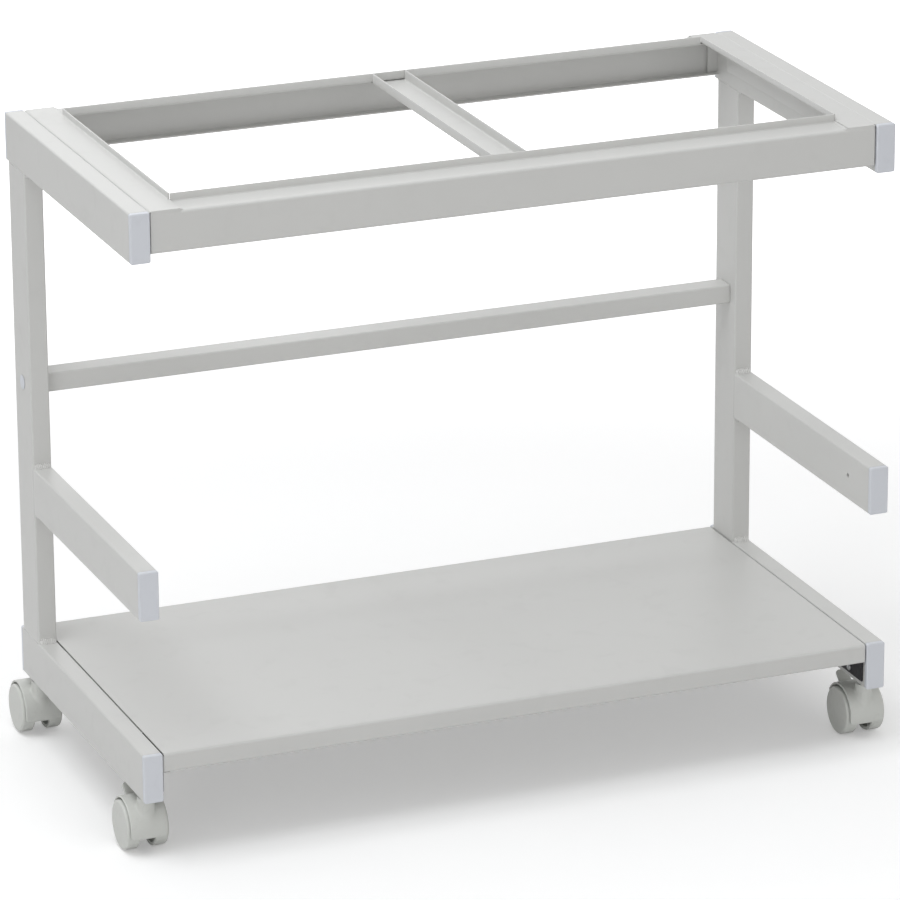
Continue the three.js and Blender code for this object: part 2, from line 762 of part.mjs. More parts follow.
// Two cheeks beside the web turn on its pivot pin and carry a tab behind the hood.
function brakeLever() {
  const angle = THREE.MathUtils.degToRad(leverAngle);
  const along = new THREE.Vector3(0, Math.cos(angle), Math.sin(angle));
  const up = new THREE.Vector3(0, -Math.sin(angle), Math.cos(angle));
  const joint = leverTabStart + leverTabThickness / 2;
  const cheekEnd = [pivot[0] + along.y * joint, pivot[1] + along.z * joint];
  const cheek = capsule(pivot, cheekEnd, leverCheekRadius);
  const inner = webWidth / 2 + leverCheekGap;
  const outer = inner + leverCheek;
  const [half, corner] = [leverTabWidth / 2, leverTabCorner];
  const outline = new THREE.Shape();
  outline.moveTo(-half, leverTabStart);
  outline.lineTo(half, leverTabStart);
  outline.absarc(half - corner, leverLength - corner, corner, 0, Math.PI / 2);
  outline.absarc(corner - half, leverLength - corner, corner, Math.PI / 2, Math.PI);
  outline.closePath();
  const plate = extruded(outline, leverTabThickness, bendSteps).translate(0, 0, -leverTabThickness / 2);
  plate.applyMatrix4(new THREE.Matrix4().makeBasis(axisX, along, up));
  return solid(plate.translate(0, ...pivot))
    .add(alongX(cheek, inner, outer))
    .add(alongX(cheek, -outer, -inner))
    .subtract(rodX(pivotRadius + boreFit, -outer - overrun, outer + overrun, ...pivot, pinSides));
}

function addCaster(endName, sideName) {
  const [side, end] = [sideSigns[sideName], endSigns[endName]];
  const name = `caster_${endName}_${sideName}`;
  const place = [side * armX, stemPlace(end), 0];
  const braked = endName === "front";
  addPiece(`${name}_stem`, stem().translate(place), "steel");
  addPiece(`${name}_hood`, hood(braked).translate(place), "caster");
  addPiece(`${name}_axle`, axle().translate(place), "steel");
  for (const [wheelName, wheelSide] of Object.entries(sideSigns)) {
    addPiece(`${name}_${wheelName}_wheel`, wheel(wheelSide).translate(place), "caster");
  }
  if (braked) {
    addPiece(`${name}_brake_lever`, brakeLever().translate(place), "caster");
  }
}

addSideFrame("left");
addSideFrame("right");
addCrossbar();
addTopFrame();
addShelf();
for (const endName of Object.keys(endSigns)) {
  for (const sideName of Object.keys(sideSigns)) {
    addCaster(endName, sideName);
  }
}

export default trolley;
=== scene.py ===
"""Dresses the office trolley: steel tube side frames, a top frame with hanging rails, a sheet-metal
shelf and twin-wheel casters, in a light grey powder coat, on a pale studio floor.

Sizes in the classes are in millimetres. +X is the trolley's right, +Y its back and +Z up.
"""

import json
import logging
import math
from dataclasses import dataclass, replace
from enum import Enum

import bmesh
import bpy
import numpy as np
from mathutils import Matrix, Vector


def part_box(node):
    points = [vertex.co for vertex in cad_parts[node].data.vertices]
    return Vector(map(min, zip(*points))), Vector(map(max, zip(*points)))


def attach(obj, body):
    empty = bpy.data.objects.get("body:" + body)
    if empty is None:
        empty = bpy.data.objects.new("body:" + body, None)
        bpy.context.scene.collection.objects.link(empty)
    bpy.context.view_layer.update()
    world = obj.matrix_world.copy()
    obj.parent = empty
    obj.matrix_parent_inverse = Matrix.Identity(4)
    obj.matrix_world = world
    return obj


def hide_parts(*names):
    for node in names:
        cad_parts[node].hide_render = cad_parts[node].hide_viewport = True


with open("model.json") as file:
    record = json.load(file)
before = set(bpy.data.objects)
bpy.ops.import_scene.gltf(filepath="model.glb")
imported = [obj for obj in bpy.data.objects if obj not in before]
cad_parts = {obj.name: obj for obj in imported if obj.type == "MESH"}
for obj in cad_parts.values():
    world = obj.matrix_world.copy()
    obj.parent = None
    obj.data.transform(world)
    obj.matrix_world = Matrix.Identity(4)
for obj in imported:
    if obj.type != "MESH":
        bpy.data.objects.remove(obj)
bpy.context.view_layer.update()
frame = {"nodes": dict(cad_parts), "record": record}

MM = 0.001
log = logging.getLogger("trolley")


class Axis(Enum):
    """The axis that a shape runs along."""

    X = 0
    Y = 1
    Z = 2


class Side(Enum):
    """A side of the trolley, or of a caster, by its sign along X."""

    LEFT = -1
    RIGHT = 1

    @property
    def word(self) -> str:
        """The side's name in lower case."""
        return self.name.lower()


class End(Enum):
    """An end of the trolley by its sign along Y."""

    FRONT = -1
    REAR = 1

    @property
    def word(self) -> str:
        """The end's name in lower case."""
        return self.name.lower()


# Shapes


@dataclass
class Shape:
    """Closed surfaces: points in millimetres, and faces as lists of point numbers.

    Attributes:
        points: Array of N points by 3 coordinates.
        faces: The corners of each face, counted from 0.
    """

    points: np.ndarray
    faces: list[list[int]]

    def __add__(self, other: "Shape") -> "Shape":
        """Both shapes as one."""
        shifted = [[i + len(self.points) for i in face] for face in other.faces]
        return Shape(np.vstack([self.points, other.points]), self.faces + shifted)

    def moved(self, x: float = 0.0, y: float = 0.0, z: float = 0.0) -> "Shape":
        """The shape, moved by the given distances."""
        return Shape(self.points + np.array([x, y, z]), self.faces)

    def mirrored(self) -> "Shape":
        """The shape's mirror image in the YZ plane."""
        return Shape(self.points * np.array([-1.0, 1.0, 1.0]), self.faces)

    def on(self, side: Side) -> "Shape":
        """A right-hand shape for a side: itself, or its mirror image at the left."""
        return self if side is Side.RIGHT else self.mirrored()

    def turned(self, axis: Axis, degrees: float) -> "Shape":
        """The shape, turned about an axis through the origin."""
        matrix = np.array(Matrix.Rotation(math.radians(degrees), 3, axis.name))
        return Shape(self.points @ matrix.T, self.faces)


def grid(points: np.ndarray) -> Shape:
    """A closed surface over a grid of points.

    Point (i, j) is joined to (i + 1, j), (i + 1, j + 1) and (i, j + 1). The last column joins the
    first, and the first and last row are closed with a flat face each.

    Args:
        points: Array of rows by columns by 3.

    Returns:
        The shape.
    """
    rows, columns = points.shape[:2]
    left = np.arange(rows * columns).reshape(rows, columns)
    right = np.roll(left, -1, axis=1)
    quads = np.stack([left[:-1], right[:-1], right[1:], left[1:]], axis=-1).reshape(-1, 4)
    ends = [left[0, ::-1].tolist(), left[-1].tolist()]
    return Shape(points.reshape(-1, 3), quads.tolist() + ends)


def along(axis: Axis, loops: np.ndarray, places: np.ndarray) -> Shape:
    """Carries loops along an axis: row s is loop s, in the other two axes, laid at place s."""
    level = np.broadcast_to(np.asarray(places, float)[:, None], loops.shape[:2])
    return grid(np.insert(loops, axis.value, level, axis=2))


def filleted(
    corners: list[tuple[float, float]],
    radii: list[float],
    closed: bool,
    steps: int = 6,
    guard: float = 0.4,
) -> np.ndarray:
    """A path whose corners are arcs.

    At a corner where the path turns by angle t, an arc of radius r touches both legs at the
    distance r tan(t / 2) from the corner. A guard point beside each end of an arc keeps the
    shading of the flats flat.

    Args:
        corners: The path's corners.
        radii: The radius at each corner; the ends of an open path keep their corner.
        closed: Whether the path returns to its first corner.
        steps: The number of straight pieces in each arc.
        guard: The distance of a guard point from its arc.

    Returns:
        Array of points by 2.
    """
    path = np.array(corners, float)
    pieces = []
    for i, (corner, radius) in enumerate(zip(path, radii)):
        if radius <= 0 or (not closed and i in (0, len(path) - 1)):
            pieces.append(corner[None])
            continue
        before = corner - path[i - 1]
        after = path[(i + 1) % len(path)] - corner
        before, after = before / np.linalg.norm(before), after / np.linalg.norm(after)
        turn = math.atan2(before[0] * after[1] - before[1] * after[0], before @ after)
        reach = radius * math.tan(abs(turn) / 2)
        spoke = np.array([before[1], -before[0]]) * math.copysign(radius, turn)
        centre = corner - before * reach - spoke
        angle = np.linspace(0, turn, steps + 1)[:, None]
        arc = centre + np.cos(angle) * spoke + np.sin(angle) * np.array([-spoke[1], spoke[0]])
        start, stop = corner - before * (reach + guard), corner + after * (reach + guard)
        pieces += [start[None], arc, stop[None]]
    return np.vstack(pieces)


def rectangle(
    width: float, height: float, radius: float, middle: tuple[float, float] = (0.0, 0.0)
) -> np.ndarray:
    """A rectangle about a middle point, with rounded corners, anticlockwise."""
    w, h = width / 2, height / 2
    return filleted([(w, -h), (w, h), (-w, h), (-w, -h)], [radius] * 4, True) + np.array(middle)


def inset(loop: np.ndarray, distance: float) -> np.ndarray:
    """An anticlockwise loop, drawn in.

    Each point moves inwards along the mean of its edges' normals, by the distance divided by the
    cosine of half the turn there.

    Args:
        loop: Array of points by 2.
        distance: How far its sides move.

    Returns:
        The new loop.
    """
    ahead = np.roll(loop, -1, axis=0) - loop
    ahead /= np.linalg.norm(ahead, axis=1)[:, None]
    mean = ahead + np.roll(ahead, 1, axis=0)
    mean /= np.linalg.norm(mean, axis=1)[:, None]
    reach = distance / (mean * ahead).sum(axis=1)
    return loop + np.stack([-mean[:, 1], mean[:, 0]], axis=1) * reach[:, None]


def drawn_in(loop: np.ndarray, distance: float) -> np.ndarray:
    """A rectangular loop with each side moved inwards, by scaling it about its middle."""
    low, high = loop.min(axis=0), loop.max(axis=0)
    return (low + high) / 2 + (loop - (low + high) / 2) * (1 - 2 * distance / (high - low))


def edge_rows(
    low: float, high: float, edge: float, steps: int = 4, guard: float = 0.3
) -> tuple[np.ndarray, np.ndarray]:
    """The rows of a prism with rounded edges at both ends.

    For a from 0 to 90 degrees a row lies edge (1 - cos a) from the end and is drawn in by
    edge (1 - sin a). A guard row lies inside the end face and one behind the edge.

    Args:
        low: The prism's low end.
        high: Its high end.
        edge: The radius of its edges.
        steps: The number of steps in a quarter turn.
        guard: The distance of the guard rows.

    Returns:
        The places of the rows, and how far each is drawn in.
    """
    angle = np.linspace(0, math.pi / 2, steps + 1)
    place = np.concatenate([[0.0], edge * (1 - np.cos(angle)), [edge + guard]])
    drawn = np.concatenate([[edge + guard], edge * (1 - np.sin(angle)), [0.0]])
    return np.concatenate([low + place, high - place[::-1]]), np.concatenate([drawn, drawn[::-1]])


def prism(
    axis: Axis, loop: np.ndarray, low: float, high: float, edge: float, steps: int = 4
) -> Shape:
    """An anticlockwise loop carried from low to high, with rounded edges at both ends."""
    places, drawn = edge_rows(low, high, edge, steps)
    return along(axis, np.stack([inset(loop, d) for d in drawn]), places)


def straight(axis: Axis, loop: np.ndarray, low: float, high: float) -> Shape:
    """A loop carried unchanged from low to high."""
    return along(axis, np.stack([loop] * 2), np.array([low, high]))


def notched(axis: Axis, cut: np.ndarray, loop: np.ndarray, places: tuple[float, ...]) -> Shape:
    """A loop carried between the middle two of four places, with a cut-down one outside them."""
    rows = np.array(places)[[0, 1, 1, 2, 2, 3]]
    return along(axis, np.stack([cut, cut, loop, loop, cut, cut]), rows)


def sheet_loop(path: np.ndarray, sheet: float) -> np.ndarray:
    """The outline of a folded sheet with rounded edges.

    Each point of the path is pushed half the sheet's thickness h to either side, along the mean
    of its neighbours' normals and divided by the cosine of half the turn there. Each edge is half
    an ellipse: for a from 90 to -90 degrees it lies 0.6 h (1 - cos a) short of the path's end and
    h sin a beside it.

    Args:
        path: The middle of the sheet's thickness, as points by 2.
        sheet: The thickness.

    Returns:
        The closed outline.
    """
    half = sheet / 2
    step = np.diff(path, axis=0)
    step /= np.linalg.norm(step, axis=1)[:, None]
    before, after = np.vstack([step[:1], step]), np.vstack([step, step[-1:]])
    mean = before + after
    mean /= np.linalg.norm(mean, axis=1)[:, None]
    reach = half / (mean * after).sum(axis=1)
    normal = (np.stack([-mean[:, 1], mean[:, 0]], axis=1) * reach[:, None])[1:-1]
    angle = np.linspace(math.pi / 2, -math.pi / 2, 7)[:, None]
    ends = []
    for corner, out in ((path[-1], step[-1]), (path[0], -step[0])):
        beside = np.array([-out[1], out[0]])
        ends.append(corner - out * 0.6 * half * (1 - np.cos(angle)) + beside * half * np.sin(angle))
    return np.vstack([path[1:-1] + normal, ends[0], (path[1:-1] - normal)[::-1], ends[1]])


def lathe(axis: Axis, profile: list[tuple[float, float]] | np.ndarray, steps: int = 48) -> Shape:
    """Turns a profile about an axis: row p is a circle of the profile's radius p at its place p.

    Args:
        axis: The axis of the turned shape.
        profile: Points of (radius, place along the axis).
        steps: The number of straight pieces in each circle.

    Returns:
        The closed shape.
    """
    profile = np.asarray(profile, float)
    angle = np.linspace(0, 2 * math.pi, steps, endpoint=False)
    circle = np.stack([np.cos(angle), np.sin(angle)], axis=1)
    return along(axis, profile[:, 0, None, None] * circle[None], profile[:, 1])


def capsule(start: tuple[float, float], end: tuple[float, float], radius: float) -> np.ndarray:
    """A strip with round ends between two points: two half circles of 12 steps each, anticlockwise.

    Args:
        start: The middle of one end.
        end: The middle of the other.
        radius: Half the strip's width.

    Returns:
        Array of points by 2.
    """
    heading = math.atan2(end[1] - start[1], end[0] - start[0])
    angle = heading + np.linspace(-math.pi / 2, math.pi / 2, 13)
    cap = radius * np.stack([np.cos(angle), np.sin(angle)], axis=1)
    return np.vstack([np.array(end) + cap, np.array(start) - cap])


def resampled(loop: np.ndarray, count: int) -> np.ndarray:
    """A closed loop as evenly spaced points: its coordinates as functions of the length walked.

    Args:
        loop: Array of points by 2.
        count: The number of new points.

    Returns:
        The new loop.
    """
    closed = np.vstack([loop, loop[:1]])
    walked = np.concatenate([[0], np.cumsum(np.linalg.norm(np.diff(closed, axis=0), axis=1))])
    even = np.linspace(0, walked[-1], count, endpoint=False)
    return np.stack([np.interp(even, walked, column) for column in closed.T], axis=1)


# Finishes


class Nodes:
    """A node tree that is filled node by node."""

    def __init__(self, tree: bpy.types.NodeTree) -> None:
        """Takes the tree to fill."""
        self.tree = tree

    def add(self, kind: str, **settings: object) -> bpy.types.Node:
        """Adds a node.

        Args:
            kind: The node's type.
            **settings: Its properties, or the value of an input by its number, as in_0.

        Returns:
            The new node.
        """
        node = self.tree.nodes.new(kind)
        for key, value in settings.items():
            if key.startswith("in_"):
                node.inputs[int(key[3:])].default_value = value
            else:
                setattr(node, key, value)
        return node

    def math(self, operation: str, *values: object) -> bpy.types.NodeSocket:
        """Adds a Math node.

        Args:
            operation: What it works out.
            *values: A number or a socket for each input.

        Returns:
            Its output.
        """
        node = self.add("ShaderNodeMath", operation=operation)
        for socket, value in zip(node.inputs, values):
            self.feed(value, socket)
        return node.outputs[0]

    def feed(self, value: object, socket: bpy.types.NodeSocket) -> None:
        """Links an output to an input, or sets the input's number.

        Args:
            value: The output or the number.
            socket: The input.
        """
        if isinstance(value, bpy.types.NodeSocket):
            self.tree.links.new(value, socket)
        else:
            socket.default_value = value

    def noise(self, size: object, detail: float, distortion: float = 0.0) -> bpy.types.NodeSocket:
        """Adds a noise on Object coordinates.

        Args:
            size: The size of its lumps in metres, a number or a socket.
            detail: Its detail.
            distortion: Its distortion.

        Returns:
            Its strength.
        """
        node = self.add("ShaderNodeTexNoise")
        node.inputs["Detail"].default_value = detail
        node.inputs["Distortion"].default_value = distortion
        self.feed(self.add("ShaderNodeTexCoord").outputs["Object"], node.inputs["Vector"])
        self.feed(self.math("DIVIDE", 1.0, size), node.inputs["Scale"])
        return node.outputs["Fac"]


NUMBER, COLOUR = "NodeSocketFloat", "NodeSocketColor"
Sockets = bpy.types.bpy_prop_collection


def new_group(
    name: str, inputs: dict[str, object], outputs: dict[str, str]
) -> tuple[Nodes, Sockets, Sockets]:
    """A shader node group with named sockets.

    Args:
        name: The group's name.
        inputs: The default of each input by its name; a colour has four numbers.
        outputs: The socket type of each output by its name.

    Returns:
        The group's nodes, the sockets that give its inputs, and the sockets that take its outputs.
    """
    tree = bpy.data.node_groups.new(name, "ShaderNodeTree")
    for socket, value in inputs.items():
        kind = COLOUR if isinstance(value, tuple) else NUMBER
        tree.interface.new_socket(socket, in_out="INPUT", socket_type=kind).default_value = value
    for socket, kind in outputs.items():
        tree.interface.new_socket(socket, in_out="OUTPUT", socket_type=kind)
    nodes = Nodes(tree)
    return nodes, nodes.add("NodeGroupInput").outputs, nodes.add("NodeGroupOutput").inputs


def skin_group() -> bpy.types.NodeTree:
    """The fine skin of a coat of paint or of moulded plastic.

    Height is a noise plus 0.35 of one at a third of its size. Tone is the colour times
    1 + depth (cloud - 0.5), with a large cloudy noise. Roughness is its mean plus the spread times
    the swings of the cloud and of the fine noise.

    Returns:
        The group.
    """
    grey = (0.7, 0.7, 0.7, 1.0)
    inputs = {"Colour": grey, "Grain size": 0.001, "Cloud size": 0.12, "Cloud depth": 0.04}
    inputs |= {"Roughness": 0.4, "Roughness spread": 0.08}
    outputs = {"Tone": COLOUR, "Roughness": NUMBER, "Height": NUMBER}
    n, given, out = new_group("surface skin", inputs, outputs)
    coarse = n.noise(given["Grain size"], 1.0)
    fine = n.noise(n.math("DIVIDE", given["Grain size"], 3.0), 2.0)
    cloud = n.math("SUBTRACT", n.noise(given["Cloud size"], 3.0), 0.5)
    n.feed(n.math("MULTIPLY_ADD", fine, 0.35, coarse), out["Height"])
    tone = n.add("ShaderNodeVectorMath", operation="SCALE")
    n.feed(given["Colour"], tone.inputs[0])
    n.feed(n.math("MULTIPLY_ADD", cloud, given["Cloud depth"], 1.0), tone.inputs["Scale"])
    n.feed(tone.outputs[0], out["Tone"])
    swing = n.math("ADD", cloud, n.math("SUBTRACT", fine, 0.5))
    roughness = n.math("MULTIPLY_ADD", swing, given["Roughness spread"], given["Roughness"])
    n.feed(roughness, out["Roughness"])
    return n.tree


def marks_group() -> bpy.types.NodeTree:
    """Faint rubs and smudges.

    A distorted noise above a threshold marks them. There the colour goes towards the mark's by the
    strength, and the roughness rises by half the strength.

    Returns:
        The group.
    """
    grey = (0.7, 0.7, 0.7, 1.0)
    inputs = {"Colour": grey, "Mark colour": grey, "Roughness": 0.4, "Strength": 0.1, "Size": 0.02}
    n, given, out = new_group("rubs and smudges", inputs, {"Colour": COLOUR, "Roughness": NUMBER})
    step = n.add("ShaderNodeMapRange", interpolation_type="SMOOTHSTEP", in_1=0.54, in_2=0.72)
    n.feed(n.noise(given["Size"], 4.0, 0.6), step.inputs[0])
    amount = n.math("MULTIPLY", step.outputs[0], given["Strength"])
    mix = n.add("ShaderNodeMix", data_type="RGBA")
    n.feed(amount, mix.inputs["Factor"])
    n.feed(given["Colour"], mix.inputs[6])
    n.feed(given["Mark colour"], mix.inputs[7])
    n.feed(mix.outputs[2], out["Colour"])
    n.feed(n.math("MULTIPLY_ADD", amount, 0.5, given["Roughness"]), out["Roughness"])
    return n.tree


SKIN = skin_group()
MARKS = marks_group()


@dataclass(frozen=True)
class Finish:
    """A finish of the trolley.

    Attributes:
        name: The material's name.
        slot: The record's material slot.
        colour: Linear red, green and blue.
        mark_colour: Linear colour of rubs.
        roughness: Mean roughness.
        roughness_spread: Its variation.
        grain_mm: Size of the fine grain.
        relief_mm: Depth of the fine grain.
        cloud_depth: Share by which the colour varies.
        marks: Strength of the rubs.
        marks_mm: Size of the rubs.
        metallic: 1 for bare metal.
    """

    name: str
    slot: str
    colour: tuple[float, float, float]
    mark_colour: tuple[float, float, float]
    roughness: float
    roughness_spread: float
    grain_mm: float
    relief_mm: float
    cloud_depth: float
    marks: float
    marks_mm: float
    metallic: float = 0.0

    def material(self) -> bpy.types.Material:
        """The finish's material, made when it is first asked for.

        Returns:
            The material.
        """
        found = bpy.data.materials.get(self.name)
        if found:
            return found
        material = bpy.data.materials.new(self.name)
        material.use_nodes = True
        n = Nodes(material.node_tree)
        shader = material.node_tree.nodes["Principled BSDF"]
        shader.inputs["Metallic"].default_value = self.metallic
        skin = n.add("ShaderNodeGroup", node_tree=SKIN)
        skin.inputs["Colour"].default_value = (*self.colour, 1.0)
        skin.inputs["Grain size"].default_value = self.grain_mm * MM
        skin.inputs["Cloud depth"].default_value = self.cloud_depth
        skin.inputs["Roughness"].default_value = self.roughness
        skin.inputs["Roughness spread"].default_value = self.roughness_spread
        marks = n.add("ShaderNodeGroup", node_tree=MARKS)
        marks.inputs["Mark colour"].default_value = (*self.mark_colour, 1.0)
        marks.inputs["Strength"].default_value = self.marks
        marks.inputs["Size"].default_value = self.marks_mm * MM
        bump = n.add("ShaderNodeBump")
        bump.inputs["Distance"].default_value = self.relief_mm * MM
        n.feed(skin.outputs["Tone"], marks.inputs["Colour"])
        n.feed(skin.outputs["Roughness"], marks.inputs["Roughness"])
        n.feed(marks.outputs["Colour"], shader.inputs["Base Color"])
        n.feed(marks.outputs["Roughness"], shader.inputs["Roughness"])
        n.feed(skin.outputs["Height"], bump.inputs["Height"])
        n.feed(bump.outputs["Normal"], shader.inputs["Normal"])
        return material


POWDER_COAT = Finish(
    name="light grey powder coat",
    slot="frame_paint",
    colour=(0.62, 0.62, 0.605),
    mark_colour=(0.5, 0.5, 0.485),
    roughness=0.4,
    roughness_spread=0.1,
    grain_mm=1.6,
    relief_mm=0.02,
    cloud_depth=0.05,
    marks=0.08,
    marks_mm=26.0,
)
CAP_PLASTIC = Finish(
    name="bluish grey cap plastic",
    slot="cap_plastic",
    colour=(0.66, 0.68, 0.725),
    mark_colour=(0.5, 0.51, 0.55),
    roughness=0.46,
    roughness_spread=0.08,
    grain_mm=0.7,
    relief_mm=0.015,
    cloud_depth=0.04,
    marks=0.08,
    marks_mm=9.0,
)
CASTER_PLASTIC = Finish(
    name="warm grey caster plastic",
    slot="caster_plastic",
    colour=(0.62, 0.63, 0.6),
    mark_colour=(0.42, 0.42, 0.4),
    roughness=0.42,
    roughness_spread=0.1,
    grain_mm=0.7,
    relief_mm=0.015,
    cloud_depth=0.06,
    marks=0.14,
    marks_mm=7.0,
)
BRACKET_PAINT = Finish(
    name="black bracket paint",
    slot="bracket_paint",
    colour=(0.022, 0.02, 0.024),
    mark_colour=(0.06, 0.06, 0.06),
    roughness=0.5,
    roughness_spread=0.12,
    grain_mm=1.0,
    relief_mm=0.02,
    cloud_depth=0.2,
    marks=0.3,
    marks_mm=8.0,
)
ZINC_STEEL = Finish(
    name="zinc plated steel",
    slot="steel",
    colour=(0.62, 0.63, 0.64),
    mark_colour=(0.4, 0.4, 0.39),
    roughness=0.3,
    roughness_spread=0.15,
    grain_mm=0.6,
    relief_mm=0.01,
    cloud_depth=0.1,
    marks=0.3,
    marks_mm=4.0,
    metallic=1.0,
)
WELD_COAT = replace(
    POWDER_COAT, name="powder coat over the welds", roughness=0.24, grain_mm=1.1, relief_mm=0.06
)
FINISHES = {
    f.slot: f for f in (POWDER_COAT, CAP_PLASTIC, CASTER_PLASTIC, BRACKET_PAINT, ZINC_STEEL)
}


def show(name: str, data: bpy.types.ID) -> bpy.types.Object:
    """Makes an object of some data and puts it into the scene.

    Args:
        name: The object's name.
        data: Its mesh, lamp or camera.

    Returns:
        The object.
    """
    thing = bpy.data.objects.new(name, data)
    bpy.context.scene.collection.objects.link(thing)
    return thing


def piece(
    name: str, shape: Shape, finish: Finish, body: str, node: str | None, smooth: float = 32.0
) -> None:
    """Puts a shape into the scene as a finished piece.

    Args:
        name: The piece's name.
        shape: Its closed surfaces in millimetres.
        finish: Its finish.
        body: The CAD body that it rides on.
        node: The CAD node that it replaces, if any.
        smooth: The angle in degrees up to which an edge between faces is shaded smooth.
    """
    mesh = bpy.data.meshes.new(name)
    mesh.from_pydata(shape.points * MM, [], shape.faces)
    worked = bmesh.new()
    worked.from_mesh(mesh)
    bmesh.ops.recalc_face_normals(worked, faces=worked.faces)
    worked.to_mesh(mesh)
    worked.free()
    mesh.shade_smooth()
    mesh.set_sharp_from_angle(angle=math.radians(smooth))
    mesh.materials.append(finish.material())
    thing = show(name, mesh)
    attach(thing, body)
    if node:
        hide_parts(node)
    log.info("%s: %d points in %s, rides on %s", name, len(mesh.vertices), finish.name, body)


def box_mm(node: str) -> tuple[np.ndarray, np.ndarray]:
    """The low and high corner of a CAD node's box, in millimetres."""
    low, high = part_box(node)
    return np.array(low) / MM, np.array(high) / MM


def box_loop(node: str, axis: Axis, corner: float) -> np.ndarray:
    """The outline of a CAD node's box across an axis, as a rounded rectangle.

    Args:
        node: The node.
        axis: The axis that the outline lies across.
        corner: The radius of its corners.

    Returns:
        Array of points by 2.
    """
    low, high = box_mm(node)
    size, middle = np.delete(high - low, axis.value), np.delete((high + low) / 2, axis.value)
    return rectangle(*size, corner, tuple(middle))


# Side frames


